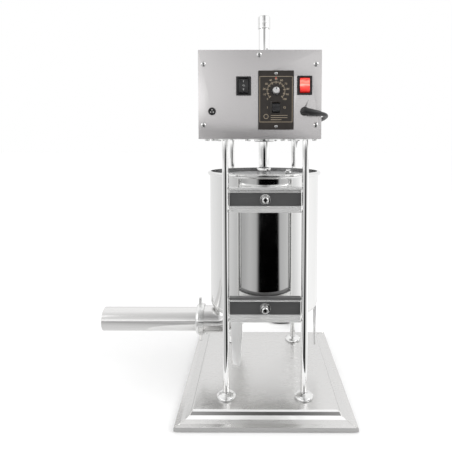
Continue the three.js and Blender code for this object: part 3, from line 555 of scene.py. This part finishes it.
# ------------------------------------------------------------------ brackets and clamping screws
for side, s in (("front", -1), ("rear", 1)):
    for lev in ("upper", "lower"):
        n = "bracket_%s_%s" % (lev, side)
        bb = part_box(n)
        z0, z1 = bb[0].z * 1000, bb[1].z * 1000
        zc, h = (z0 + z1) / 2, (z1 - z0) / 2
        y0, y1 = sorted((abs(bb[0].y) * 1000, abs(bb[1].y) * 1000))
        # channel: thick rounded flange noses, a pressed rib along each side of the web
        half = [(y0 + 3, 0), (y0 + 3, h - 10.8)]
        half += [(y0 + 3 + 1.7 * math.sin(math.pi * k / 8), h - 9.1 - 1.7 * math.cos(math.pi * k / 8)) for k in range(1, 8)]
        half += [(y0 + 6 - 3 * math.cos(math.pi / 2 * k / 4), h - 7.4 + 3 * math.sin(math.pi / 2 * k / 4)) for k in range(0, 5)]
        half += [(y1 - 2.2 + 2.2 * math.sin(math.pi * k / 10), h - 2.2 - 2.2 * math.cos(math.pi * k / 10)) for k in range(0, 11)]
        half += [(y0 + 2.2, h), (y0 + 0.8, h - 0.6), (y0, h - 2.2)]
        o = [(p[0], -p[1]) for p in half[::-1]] + half[1:]
        o = [(s * p[0], zc + p[1]) for p in o]
        b = Build()
        b.prism(o, "x", -64.7, 64.7)
        for f in b.bm.faces:
            c = f.calc_center_median()
            f.normal_update()
            # flat web faces, and on the lower brackets the top faces, take the near-black copy: painted dark reflection
            if len(f.verts) == 4 and abs(c.z - zc) < h - 10.9 and abs(c.y) > y0 + 1.5 and abs(f.normal.y) > 0.7 or (zc < 300 and len(f.verts) == 4 and c.z > zc + h - 3.2):
                f.material_index = 1
        ob = b.make("channel_%s_%s" % (lev, side), [BRACKET, WEB_PAINTED_DARK_REFLECTION], rep=(n,), bevel=0.5, limit=70, angle=40)
        # screw: socket head, lock nut, washer
        bn = "bracket_bolt_%s_%s" % (lev, side)
        y = lambda v: s * (y0 + v)
        b = Build()
        b.lathe(fillet([(0, y(-0.4)), (3.9, y(-0.4)), (3.9, y(3.3)), (9.6, y(3.3)), (9.6, y(4.9)), (6.5, y(4.9))], [0, .5, 0, .4, .5, 0], 3), "y", 0, zc, 64)
        b.prism(circle(0, zc, 8.1, 6), "y", y(4.9), y(9.3))
        head = [(6.0, y(9.3)), (6.8, y(9.5))] + [(3.95 + 2.85 * math.cos(math.pi / 2 * k / 9), y(12.6 + 5.2 * math.sin(math.pi / 2 * k / 9))) for k in range(10)]
        b.lathe(head, "y", 0, zc, 48)
        rim = b.ring([(3.95 * math.cos(TAU * (k + .5) / 48), y(17.8), zc + 3.95 * math.sin(TAU * (k + .5) / 48)) for k in range(48)])
        def hexr(a):
            a = (a % (TAU / 6)) - TAU / 12
            return 3.35 * math.cos(TAU / 12) / math.cos(a)
        hx = [b.ring([(hexr(TAU * (k + .5) / 48) * math.cos(TAU * (k + .5) / 48), yy, zc + hexr(TAU * (k + .5) / 48) * math.sin(TAU * (k + .5) / 48)) for k in range(48)]) for yy in (y(17.6), y(13.2))]
        # the hex socket's walls and floor take the near-black: painted shade in the recess
        b.bridge(rim, hx[0]); b.bridge(hx[0], hx[1], 1); b.cap(hx[1], 1)
        b.make("clamp_screw_%s_%s" % (lev, side), [FAST, RECESS_PAINTED_SHADE], rep=(bn,), bevel=0.25, angle=34, limit=45)

# ------------------------------------------------------------------ cylinder, neck, legs
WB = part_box("cylinder_wall")
rim, low = WB[1].z * 1000, WB[0].z * 1000
R, T = 110.0, 1.8
wall = fillet([(R - T, low), (R, low), (R, rim - 8.2), (112.6, rim - 7.3), (114.5, rim - 5.0), (114.5, rim - 2.2), (112.8, rim - 0.2), (R - T, rim)],
              [0, 0, 1.2, 1.0, 1.6, 1.6, 1.2, 0.9], 5)
b = Build()
# faces of the inner wall take the darker copy: painted shade inside the vessel
b.lathe(wall, "z", 0, 0, 192, True, mis=[1 if wall[i][0] < R - 1 and wall[(i + 1) % len(wall)][0] < R - 1 else 0 for i in range(len(wall))])
b.make("cylinder_shell", [CYL, CYL_INSIDE_PAINTED_SHADE], rep=("cylinder_wall",), angle=50)
dish_o = [(0, 155.5), (92, 155.5), (100, 156.2), (106, 158.8), (109, 162.5), (110, 168)]
dish_i = [(0, 157.3), (91.6, 157.3), (99.2, 157.9), (104.7, 160.2), (107.3, 163.3), (108.2, 168)]
b = Build()
b.lathe(fillet(dish_o, [0, 6, 5, 4, 4, 0], 3) + fillet(dish_i[::-1], [0, 4, 4, 5, 6, 0], 3), "z", 0, 0, 160)
b.make("cylinder_base", CYL_IN, rep=("cylinder_bottom",), angle=50)
b = Build()
b.lathe([(R - 0.3, low - 1.4), (R + 0.35, low - 0.9), (R + 0.5, low), (R + 0.35, low + 0.9), (R - 0.3, low + 1.4)], "z", 0, 0, 160, True)
b.make("cylinder_seam", WELD, angle=60)
nz = 120.2
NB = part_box("outlet_neck")
ex, ez = -66.0, NB[1].z * 1000
path = [(-123.9, 0, nz), (-108, 0, nz)]
for k in range(0, 19):
    t = math.pi / 2 * k / 18
    path.append((ex - 28 + 28 * math.sin(t), 0, nz + 28 - 28 * math.cos(t)))
path.append((ex, 0, ez))
b = Build()
b.tube(path, 27.4, 72)
b.make("outlet_elbow", TUBE, rep=("outlet_neck",), angle=50)
b = Build()
b.lathe([(27.0, ez - 2.2), (27.6, ez - 2.2), (28.6, ez - 1.2), (30.0, ez + 0.2), (27.0, ez + 0.2)], "z", ex, 0, 96, True)
b.make("outlet_weld", WELD, angle=60)
for n in ("right", "rear_left", "front_left"):
    refine("cylinder_leg_" + n, "leg_" + n, LEG, bevel=0.7, limit=50)

# ------------------------------------------------------------------ horn, gasket, wing nut
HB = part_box("horn")
hx0 = HB[0].x * 1000 - SX
b = Build()
b.lathe(fillet([(22.4, hx0 + 0.3), (23.2, hx0), (24.0, hx0 + 0.5), (24.0, -134.5), (24.4, -133.6), (27.4, -133.0), (27.4, -127.2), (22.4, -127.0)], [.3, .4, .5, 1, .5, .4, .3, 0], 4), "x", 0, nz, 112, True)
b.make("horn_tube", TUBE, rep=("horn",), angle=40)
b = Build()
b.lathe(fillet([(24.4, -126.7), (27.3, -126.7), (27.3, -124.3), (24.4, -124.3)], .5, 3, True), "x", 0, nz, 96, True)
b.make("gasket_ring", SEAL, rep=("horn_gasket",))
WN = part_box("wing_nut")
wx0, wx1 = WN[0].x * 1000 - SX, WN[1].x * 1000 - SX
b = Build()
b.lathe(fillet([(28.4, wx1), (31.2, wx1), (31.4, wx1 - 0.5), (31.4, wx1 - 10.6), (30.6, wx1 - 13.6), (28.2, wx1 - 16.2), (24.6, wx1 - 16.2), (24.6, -134.0), (28.4, -133.6)],
               [.3, .4, .4, 1.6, 1.6, 1.6, .5, .3, .3], 5, True), "x", 0, nz, 128, True)
for s in (-1, 1):
    o = [(-10.2, 28.8), (10.2, 28.8), (9.2, 33.0), (7.6, 37.4), (6.2, 41.6), (4.6, 44.9), (2.4, 46.5), (0, 46.9), (-2.4, 46.5), (-4.6, 44.9), (-6.2, 41.6), (-7.6, 37.4), (-9.2, 33.0)]
    b.prism([(p[0], nz + s * p[1]) for p in o], "x", -134.4, -129.6)
# fine grip lines round the ring
for k in range(60):
    a = TAU * k / 60
    c, s_ = math.cos(a), math.sin(a)
    if abs(c) < 0.36:
        continue
    b.tube([(wx1 - 2.2, 31.35 * c, nz + 31.35 * s_), (wx1 - 9.6, 31.35 * c, nz + 31.35 * s_)], 0.42, 6)
b.make("wing_nut_cast", FAST, "wing_nut", rep=("wing_nut",), bevel=0.7, limit=55, angle=40)

# ------------------------------------------------------------------ piston group
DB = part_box("piston_disc")
pz0, pz1 = DB[0].z * 1000, DB[1].z * 1000
b = Build()
b.lathe(fillet([(11.4, pz0), (103.5, pz0), (105.5, pz0 + 2), (105.5, pz0 + 12), (99.5, pz0 + 12), (99.5, pz0 + 26), (105.5, pz0 + 26), (105.5, pz1 - 1.5), (104, pz1), (30, pz1), (26, pz1 + 0), (11.4, pz1)],
               [0, 1, 1, .3, .3, .3, .3, .8, .8, 0, 0, 0], 3), "z", 0, 0, 160, True)
for r0 in range(34, 100, 8):
    b.lathe([(r0, pz1 - 0.2), (r0 + 0.5, pz1 + 0.12), (r0 + 1.0, pz1 - 0.2)], "z", 0, 0, 120)
b.make("piston_plate", CASTAL, "piston", rep=("piston_disc",), angle=40)
b = Build()
b.lathe(fillet([(100.1, pz0 + 12.3), (106.1, pz0 + 12.3), (107.5, pz0 + 14.5), (106.7, pz0 + 19), (107.5, pz0 + 23.5), (106.1, pz0 + 25.7), (100.1, pz0 + 25.7)], [0, .5, .8, 1.5, .8, .5, 0], 4, True), "z", 0, 0, 160, True)
b.make("seal_ring", SEAL, "piston", rep=("piston_seal",), angle=50)
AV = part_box("air_valve")
ax, ay = (AV[0].x + AV[1].x) * 500 - SX, (AV[0].y + AV[1].y) * 500
az0, az1 = AV[0].z * 1000, AV[1].z * 1000
b = Build()
b.lathe(fillet([(0, az0), (3.6, az0), (3.6, pz1 - 12), (6.4, pz1 - 12), (6.4, pz1 - 10), (3.6, pz1 - 10), (3.6, pz1 + .3), (8, pz1 + .3), (8, pz1 + 2), (5, pz1 + 4.5), (5, az1), (0, az1)],
               [0, .5, 0, .3, .3, 0, 0, .5, .8, .8, 1.2, 0], 3), "z", ax, ay, 48)
b.make("relief_valve", FAST, "air_valve", rep=("air_valve",))
b = Build()
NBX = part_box("piston_nut")
b.lathe(fillet([(11.4, NBX[0].z * 1000), (14.3, NBX[0].z * 1000), (14.3, NBX[1].z * 1000), (11.4, NBX[1].z * 1000)], [0, .3, 1.6, .6], 4, True), "z", 0, 0, 64, True)
b.make("hub_nut", FAST, "piston", rep=("piston_nut",))

# rod: round bar with a row of teeth on its back
rz0, rz1 = RB[0].z * 1000, RB[1].z * 1000
yp, MOD_ = 7.0, 2.0
tip, root, pitch, ta = yp + 1.8, yp - 2.4, math.pi * 2, math.tan(math.radians(25))
levels = [(rz0, 99), (444 - 0.01, 99), (444, tip)]
k = math.ceil((444 + 4 - 517) / pitch)
while 517 + k * pitch + 4 < rz1:
    zc = 517 + k * pitch
    hr, ht = pitch / 4 + .11 + (root - yp) * ta, pitch / 4 + .11 + (tip - yp) * ta
    levels += [(zc - ht, tip), (zc - hr, root), (zc + hr, root), (zc + ht, tip)]
    k += 1
levels += [(rz1, tip)]
b = Build()
SEG = 56
rings = []
for z, lim in levels:
    rr = 11.0 if z > rz0 + 0.5 else 9.5
    rings.append(b.ring([(rr * math.cos(TAU * (q + .5) / SEG), min(rr * math.sin(TAU * (q + .5) / SEG), lim), z) for q in range(SEG)]))
for a, c in zip(rings, rings[1:]):
    b.bridge(a, c)
b.cap(rings[0]); b.cap(rings[-1])
b.make("rack_bar", POLISH, "piston", rep=("rack_rod",), angle=24)
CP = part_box("rod_cap")
z0, z1 = CP[0].z * 1000, CP[1].z * 1000
b = Build()
b.lathe(fillet([(0, z0), (11.7, z0), (12.5, z0 + 1), (12.5, z0 + 8.2), (12.0, z0 + 8.8), (12.0, z0 + 9.8), (12.5, z0 + 10.4), (12.5, z1 - 4.2), (11.4, z1 - 1.6), (8.2, z1), (0, z1)],
               [0, .3, .4, .2, .2, .2, .2, 1.6, 1.6, 2, 0], 4), "z", 0, 0, 64)
b.make("cap_turned", FAST, "piston", rep=("rod_cap",), angle=26)

# ------------------------------------------------------------------ head
refine("head_cover", "cover_folded", SATIN_X, bevel=1.4, seg=3)
refine("head_plate", "plate_mount", BRACKET, bevel=0.6)
refine("control_panel", "panel_front", PANEL, bevel=0.8, seg=3)
b = Build()
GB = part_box("guide_bush")
g0, g1 = GB[0].z * 1000, GB[1].z * 1000
b.lathe(fillet([(11.5, g0), (19.4, g0), (20.5, g0 + 1), (20.5, g0 + 4.3), (14.1, g0 + 4.3), (14.1, g1), (11.5, g1)], [.5, .5, .5, .4, 0, .3, .3], 3, True), "z", 0, 0, 72, True)
b.make("bush_turned", FAST, rep=("guide_bush",))
refine("gear_case", "gear_case_cast", CASTAL, bevel=0.6)
refine("gearbox", "gearbox_cast", GBOX, bevel=0.8)
refine("motor", "motor_round", MOTORP, bevel=0.7)
refine("pinion_shaft", "pinion_cut", FAST, "pinion", bevel=0.15, angle=24)
for n in ("left", "right"):
    refine("bearing_" + n, "bearing_ring_" + n, FAST, bevel=0.4)

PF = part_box("control_panel")[0].y * 1000          # front face of the panel
FYY = PF - 0.3


def screw(name, x, z, y, r=4.3, h=2.2, slotdir=0.4, mat=None):
    """pan-head cross-recess screw seen from the front"""
    b = Build()
    prof = [(0, y - h), (r * .35, y - h), (r * .62, y - h * .93), (r * .85, y - h * .68), (r * .97, y - h * .3), (r, y), (0, y)]
    b.lathe(fillet(prof, [0, 0, r * .2, r * .2, r * .1, .2, 0], 3), "y", x, z, 48)
    # the cross recess is a near-black cross set into the head: painted shade of the recess
    for a in (slotdir, slotdir + math.pi / 2):
        c, s_ = math.cos(a), math.sin(a)
        w, l = 0.42, r * .62
        o = [(x + c * l - s_ * w, z + s_ * l + c * w), (x - c * l - s_ * w, z - s_ * l + c * w), (x - c * l + s_ * w, z - s_ * l - c * w), (x + c * l + s_ * w, z + s_ * l - c * w)]
        b.prism(o, "y", y - h - 0.04, y - h * .72, 1)
    b.make(name, [mat or FAST, RECESS_PAINTED_SHADE])


for i, (x, z) in enumerate(((-105.4, 620), (83.8, 620), (-105.8, 518.2), (84.3, 518.2), (-11.6, 635.6))):
    screw("panel_screw_%d" % i, x, z, PF, slotdir=0.3 + i * 0.7)
for i, (x, z) in enumerate(((16.7, 604), (16.8, 515.6))):
    screw("controller_screw_%d" % i, x, z, FYY - 2.6, 2.6, 1.2, 0.5 + i)
# screws up into the mounting plate, heads below the head
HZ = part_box("head_plate")[0].z * 1000
for i, (x, y_) in enumerate(((-101, -139), (-91, -126), (-84, -139), (-32, -128), (4, -139), (30, -132), (42, -139), (84, -139), (-101, 139), (-32, 128), (30, 132), (84, 139))):
    b = Build()
    b.lathe(fillet([(0, HZ - 3.2), (3.6, HZ - 3.2), (4.4, HZ - 2.2), (4.4, HZ), (0, HZ)], [0, 0.8, .8, .2, 0], 3), "z", x, y_, 32)
    b.make("plate_screw_%02d" % i, FAST)

# ------------------------------------------------------------------ switches
refine("direction_switch_body", "switch_frame_direction", BLACKP, bevel=0.7, seg=3)
refine("power_switch_body", "switch_frame_power", BLACKP, bevel=0.7, seg=3)
refine("direction_rocker", "rocker_direction", ROCKP, "direction_rocker", bevel=0.5)
refine("power_rocker", "rocker_power", LAMP_WITH_PAINTED_GLINT, "power_rocker", bevel=0.6, seg=3)
refine("run_rocker", "rocker_run", ROCKP, "run_rocker", bevel=0.4)
refine("speed_controller", "controller_face", [PLATE, DIALP], bevel=1.0, seg=3)


def text(name, s, x, z, y, size, mat, body="root", tilt=None):
    cu = bpy.data.curves.new(name + "_t", "FONT")
    cu.body = s
    cu.size = size / 1000
    cu.extrude = 0.00008
    cu.align_x = "CENTER"
    cu.align_y = "CENTER"
    cu.resolution_u = 3
    tmp = bpy.data.objects.new(name + "_t", cu)
    bpy.context.scene.collection.objects.link(tmp)
    bpy.context.view_layer.update()
    me = bpy.data.meshes.new_from_object(tmp)
    bpy.data.objects.remove(tmp)
    me.transform(Matrix.Translation(((x + SX) / 1000, y / 1000, z / 1000)) @ Matrix.Rotation(math.pi / 2, 4, "X"))
    if tilt:
        piv, ang = tilt
        P = Vector(((piv[0] + SX) / 1000, piv[1] / 1000, piv[2] / 1000))
        me.transform(Matrix.Translation(P) @ Matrix.Rotation(ang, 4, "X") @ Matrix.Translation(-P))
    return finish_mesh(name, me, mat, body, (), 0, 1, 30)


def centre(node):
    lo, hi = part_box(node)
    return (lo.x + hi.x) * 500 - SX, (lo.z + hi.z) * 500


dx, dz = centre("direction_switch_body")
for s, off in (("I", 10.0), ("O", 0.0), ("II", -10.0)):
    # draws nothing; the rocker's marks are made further down
    pass
cx, cz = centre("speed_controller")
kx, kz = centre("speed_knob")
FP = FYY - 2.6                                     # face of the controller plate
# printed dial: frame lines, ticks, numbers
b = Build()
y0, y1 = FP - 0.12, FP + 0.3
fx0, fx1, fz0, fz1 = -10.8, 44.2, 523, 599.4
t = 0.55
for x0_, x1_, z0_, z1_ in ((fx0, fx1, fz1 - t, fz1), (fx0, fx1, fz0, fz0 + t), (fx0, fx0 + t, fz0, fz1), (fx1 - t, fx1, fz0, fz1)):
    b.box(x0_, x1_, y0, y1, z0_, z1_)
b.make("dial_frame", GOLDP)
b = Build()
for k in range(0, 41):
    a = math.radians(225 - 270 * k / 40)
    big = k % 4 == 0
    r0, r1, w = (12.2, 16.4, 0.42) if big else (13.6, 15.8, 0.26)
    c, s_ = math.cos(a), math.sin(a)
    o = [(kx + c * r0 - s_ * w, kz + s_ * r0 + c * w), (kx + c * r1 - s_ * w, kz + s_ * r1 + c * w), (kx + c * r1 + s_ * w, kz + s_ * r1 - c * w), (kx + c * r0 + s_ * w, kz + s_ * r0 - c * w)]
    b.prism(o, "y", y0, y1)
b.make("dial_ticks", GOLDP)
for k in range(0, 11):
    a = math.radians(225 - 270 * k / 10)
    text("dial_number_%d" % k, str(k * 10), kx + 20.2 * math.cos(a), kz + 19.6 * math.sin(a), y0 + 0.05, 4.6, GOLDP)
b = Build()
for k in range(24):
    a0, a1 = math.radians(66 + 48 * k / 24), math.radians(66 + 48 * (k + 1) / 24)
b.prism([(kx - 1.6, fz1 - 2.2), (kx + 1.6, fz1 - 2.2), (kx, fz1 - 4.8)], "y", y0, y1)
b.make("dial_red_mark", REDP)
text("run_mark_on", "I", 16.7 - 14.5, 547.2, y0 + 0.05, 5.2, GOLDP)
text("run_mark_off", "O", 16.7 + 14.5, 547.2, y0 + 0.05, 5.2, GOLDP)
b = Build()
b.lathe([(3.4, y0), (4.0, y0), (4.0, y1), (3.4, y1)], "y", 0, 532.5, 40, True)
b.box(8, 36, y0, y1, 530.3, 530.9); b.box(8, 36, y0, y1, 534.0, 534.6)
b.box(8, 26, y0, y1, 526.8, 527.4)
b.make("dial_lines", GOLDP)

# knob: knurled skirt, domed face, pointer line
b = Build()
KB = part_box("speed_knob")
ky0 = KB[0].y * 1000
prof = fillet([(0, FYY + 5), (2, FYY + 5), (2, FYY - 2.9), (7.1, FYY - 2.9), (7.2, FYY - 4.4), (5.8, FYY - 5.3), (5.5, ky0 + 1.2), (4.7, ky0), (1.2, ky0 + 0.25), (0, ky0 + 0.3)], [0, 0, 0, .3, .5, .4, .8, .5, 0, 0], 3)
b.lathe(prof, "y", kx, kz, 96, mis=[1 if prof[i][0] > 6.0 or prof[min(i + 1, len(prof) - 1)][0] > 6.0 else 0 for i in range(len(prof))])
for v in b.bm.verts:
    dxx, dzz = v.co.x - kx, v.co.z - kz
    rr = math.hypot(dxx, dzz)
    if rr > 5.3 and rr < 5.75 and v.co.y < FYY - 5.0 and v.co.y > ky0 + 1.0:
        f = 1 + 0.03 * math.cos(32 * math.atan2(dzz, dxx))
        v.co.x, v.co.z = kx + dxx * f, kz + dzz * f
b.box(kx - 0.45, kx + 0.45, ky0 - 0.06, ky0 + 1.0, kz + 1.2, kz + 4.6, 1)
b.make("knob_turned", [KNOBM, BLACKP], "speed_knob", rep=("speed_knob",), angle=40)

# rocker marks ride on their rockers
db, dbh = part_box("direction_rocker")
yr = db.y * 1000
text("direction_mark_one", "I", dx, dz + 6.6, 0, 4.2, WHITEP, "direction_rocker")
bpy.data.objects["direction_mark_one"].data.transform(Matrix.Translation((0, (FYY - 7.75) / 1000, 0)))
text("direction_mark_two", "II", dx, dz - 6.6, 0, 4.2, WHITEP, "direction_rocker")
bpy.data.objects["direction_mark_two"].data.transform(Matrix.Translation((0, (FYY - 7.75) / 1000, 0)))
text("direction_mark_off", "O", dx, dz, 0, 4.0, WHITEP, "direction_rocker")
bpy.data.objects["direction_mark_off"].data.transform(Matrix.Translation((0, (FYY - 6.1) / 1000, 0)))

# ------------------------------------------------------------------ pedal socket, strain relief, clip
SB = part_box("pedal_socket")
sx_, sz_ = (SB[0].x + SB[1].x) * 500 - SX, (SB[0].z + SB[1].z) * 500
b = Build()
b.lathe(fillet([(0, FYY + 13.5), (5.1, FYY + 13.5), (5.1, FYY + .1), (6.4, FYY + .1), (6.4, FYY - 1.9), (5.9, FYY - 2.6), (4.9, FYY - 2.6), (4.7, FYY - 0.2), (0, FYY - 0.2)], [0, .3, 0, .2, .4, .4, .3, .2, 0], 3), "y", sx_, sz_, 64)
for k in range(3):
    a = math.radians(90 + 120 * k)
    b.lathe([(0, FYY - 2.2), (0.75, FYY - 2.1), (1.1, FYY - 1.5), (1.1, FYY - 0.2), (0, FYY - 0.2)], "y", sx_ + 2.6 * math.cos(a), sz_ + 2.6 * math.sin(a), 16, mi=1)
b.make("socket_round", [BLACKP, WHITEP], rep=("pedal_socket",))
b = Build()
rx, rz = 65.2, 541.3
b.lathe(fillet([(0, FYY + 8), (5.7, FYY + 8), (5.7, FYY), (7.4, FYY), (7.4, FYY - 3.5), (6.0, FYY - 4.6), (5.8, FYY - 12), (4.6, FYY - 15), (2.4, FYY - 16.2), (0, FYY - 16.4)], [0, .4, 0, .3, .8, .6, 1.4, 1.4, 1, 0], 4), "y", rx, rz, 64)
st = Vector((rx - 1.0, FYY - 11.6, rz + 0.2))
first = [Vector((p[0] * 1000 - SX, p[1] * 1000, p[2] * 1000)) for p in line[:26]]
sl = [st, st.lerp(first[0], 0.5)] + first[0:24:2]
rad = []
for i in range(len(sl)):
    rad.append(5.5 - 1.7 * i / (len(sl) - 1) + (0.35 if i % 2 == 0 and i > 1 else 0.0))
b.tube(sl, rad, 24)
b.make("relief_elbow", CORDM, rep=("strain_relief",), angle=50)
refine("cord_clip", "clip_bent", BRACKET, bevel=0.3)

# ------------------------------------------------------------------ stage: floor, lights, what the steel mirrors
def plane(name, x0, x1, y0, y1, z, mat):
    me = bpy.data.meshes.new(name)
    me.from_pydata([(x0, y0, z), (x1, y0, z), (x1, y1, z), (x0, y1, z)], [], [(0, 1, 2, 3)])
    me.materials.append(mat)
    o = bpy.data.objects.new(name, me)
    bpy.context.scene.collection.objects.link(o)
    return o


fm, fnt, fb = new_mat("stage_floor")
fb.inputs["Base Color"].default_value = (0.93, 0.93, 0.93, 1)
fb.inputs["Roughness"].default_value = 0.9
fb.inputs["Specular IOR Level"].default_value = 0.0
fb.inputs["Emission Color"].default_value = (1, 1, 1, 1)
fb.inputs["Emission Strength"].default_value = 0.09
floor = plane("stage_floor", -12, 12, -6, 20, -0.0002, fm)

w = bpy.data.worlds.new("studio")
bpy.context.scene.world = w
w.use_nodes = True
nt = w.node_tree
nt.nodes.clear()
out = nt.nodes.new("ShaderNodeOutputWorld")
bg_cam = nt.nodes.new("ShaderNodeBackground")
bg_cam.inputs["Color"].default_value = (1, 1, 1, 1)
bg_cam.inputs["Strength"].default_value = 1.0
bg_env = nt.nodes.new("ShaderNodeBackground")
bg_env.inputs["Strength"].default_value = 1.0


def deg(d):
    return (d + 180) / 360


def ring_of(nt, sep, stops):
    """brightness of the studio by compass direction, 0 straight in front of the object"""
    neg = nt.nodes.new("ShaderNodeMath"); neg.operation = "MULTIPLY"; neg.inputs[1].default_value = -1
    nt.links.new(sep.outputs["Y"], neg.inputs[0])
    at = nt.nodes.new("ShaderNodeMath"); at.operation = "ARCTAN2"
    nt.links.new(sep.outputs["X"], at.inputs[0])
    nt.links.new(neg.outputs[0], at.inputs[1])
    mr = nt.nodes.new("ShaderNodeMapRange")
    mr.inputs["From Min"].default_value = -math.pi
    mr.inputs["From Max"].default_value = math.pi
    nt.links.new(at.outputs[0], mr.inputs["Value"])
    cr = nt.nodes.new("ShaderNodeValToRGB")
    els = cr.color_ramp.elements
    els[0].position = deg(stops[0][0]); els[0].color = (*[stops[0][1]] * 3, 1)
    els[1].position = deg(stops[-1][0]); els[1].color = (*[stops[-1][1]] * 3, 1)
    for d, v in stops[1:-1]:
        e = els.new(deg(d)); e.color = (v, v, v, 1)
    nt.links.new(mr.outputs["Result"], cr.inputs["Fac"])
    return cr.outputs["Color"]


def step_mix(nt, z, lo, hi, a, c):
    zr = nt.nodes.new("ShaderNodeMapRange")
    zr.inputs["From Min"].default_value = lo
    zr.inputs["From Max"].default_value = hi
    nt.links.new(z, zr.inputs["Value"])
    mx = nt.nodes.new("ShaderNodeMix"); mx.data_type = "RGBA"
    nt.links.new(zr.outputs["Result"], mx.inputs["Factor"])
    nt.links.new(a, mx.inputs["A"])
    if isinstance(c, float):
        mx.inputs["B"].default_value = (c, c, c, 1)
    else:
        nt.links.new(c, mx.inputs["B"])
    return mx.outputs["Result"]


LOW = [(-180, 0.95), (-122, 0.96), (-72, 0.78), (-57, 0.64), (-43, 0.46), (-29, 0.60), (-16, 0.50), (-10.5, 0.0), (27, 0.0), (30, 0.55), (40, 0.62), (50, 0.72), (64, 0.92), (80, 1.25), (110, 1.2), (180, 0.95)]
MID = [(-180, 0.95), (-110, 1.0), (-60, 1.25), (-25, 1.35), (-12, 1.25), (-4, 0.66), (2, 0.58), (9, 0.95), (18, 1.12), (42, 1.15), (50, 0.12), (74, 0.12), (84, 1.2), (180, 0.95)]
HIGH = [(-180, 0.95), (-90, 1.0), (-40, 0.95), (-14, 0.85), (-7, 0.60), (-3, 0.28), (1, 0.10), (5, 0.16), (8, 0.33), (11, 0.60), (16, 0.90), (42, 1.0), (50, 0.12), (74, 0.12), (84, 1.2), (180, 0.95)]
TOP = [(-180, 1.15), (-90, 1.1), (-50, 0.95), (-14, 0.72), (-7, 0.36), (-1, 0.10), (3, 0.10), (8, 0.36), (15, 0.72), (50, 0.95), (90, 1.1), (180, 1.15)]
tc = nt.nodes.new("ShaderNodeTexCoord")
sep = nt.nodes.new("ShaderNodeSeparateXYZ")
nt.links.new(tc.outputs["Generated"], sep.inputs[0])
c_low, c_mid, c_high, c_top = (ring_of(nt, sep, st_) for st_ in (LOW, MID, HIGH, TOP))
col = step_mix(nt, sep.outputs["Z"], -0.014, -0.001, c_low, c_mid)
col = step_mix(nt, sep.outputs["Z"], 0.19, 0.225, col, c_high)
col = step_mix(nt, sep.outputs["Z"], 0.42, 0.55, col, c_top)
nt.links.new(col, bg_env.inputs["Color"])
bg_dif = nt.nodes.new("ShaderNodeBackground")
bg_dif.inputs["Color"].default_value = (1, 1, 1, 1)
bg_dif.inputs["Strength"].default_value = 1.0
lp = nt.nodes.new("ShaderNodeLightPath")
m1 = nt.nodes.new("ShaderNodeMixShader")
m2 = nt.nodes.new("ShaderNodeMixShader")
nt.links.new(lp.outputs["Is Glossy Ray"], m1.inputs[0])
nt.links.new(bg_dif.outputs[0], m1.inputs[1])
nt.links.new(bg_env.outputs[0], m1.inputs[2])
nt.links.new(lp.outputs["Is Camera Ray"], m2.inputs[0])
nt.links.new(m1.outputs[0], m2.inputs[1])
nt.links.new(bg_cam.outputs[0], m2.inputs[2])
nt.links.new(m2.outputs[0], out.inputs["Surface"])

# what the polished steel mirrors below the horizon: seen by reflections only
dm = bpy.data.materials.new("stage_reflect")
dm.use_nodes = True
rt = dm.node_tree
rt.nodes.clear()
ro = rt.nodes.new("ShaderNodeOutputMaterial")
re_ = rt.nodes.new("ShaderNodeEmission")
rtc = rt.nodes.new("ShaderNodeTexCoord")
rsp = rt.nodes.new("ShaderNodeSeparateXYZ")
rt.links.new(rtc.outputs["Object"], rsp.inputs[0])
rt.links.new(ring_of(rt, rsp, LOW), re_.inputs["Color"])
rt.links.new(re_.outputs[0], ro.inputs["Surface"])
me = bpy.data.meshes.new("stage_reflect")
vs, fs = [], []
NR = 96
for k in range(NR):
    a = TAU * k / NR
    vs += [(0.27 * math.cos(a), 0.27 * math.sin(a), 0), (7 * math.cos(a), 7 * math.sin(a), 0)]
for k in range(NR):
    j = (k + 1) % NR
    fs.append((2 * k, 2 * k + 1, 2 * j + 1, 2 * j))
me.from_pydata(vs, [], fs)
me.materials.append(dm)
dark = bpy.data.objects.new("stage_reflect", me)
dark.location = (SX / 1000, 0, 0.0006)
bpy.context.scene.collection.objects.link(dark)
dark.visible_camera = False
dark.visible_diffuse = False
dark.visible_shadow = False
dark.visible_transmission = False


def area(name, loc, target, size, power, sizey=None):
    l = bpy.data.lights.new(name, "AREA")
    l.shape = "RECTANGLE"
    l.size = size
    l.size_y = sizey or size
    l.energy = power
    o = bpy.data.objects.new(name, l)
    bpy.context.scene.collection.objects.link(o)
    o.location = loc
    o.rotation_euler = (Vector(target) - Vector(loc)).to_track_quat("-Z", "Y").to_euler()
    o.visible_camera = False
    return o


area("key_right", (1.9, -1.0, 1.7), (0.05, 0, 0.35), 1.2, 14)
area("fill_left", (-1.8, -1.2, 1.3), (0.05, 0, 0.35), 1.4, 5)
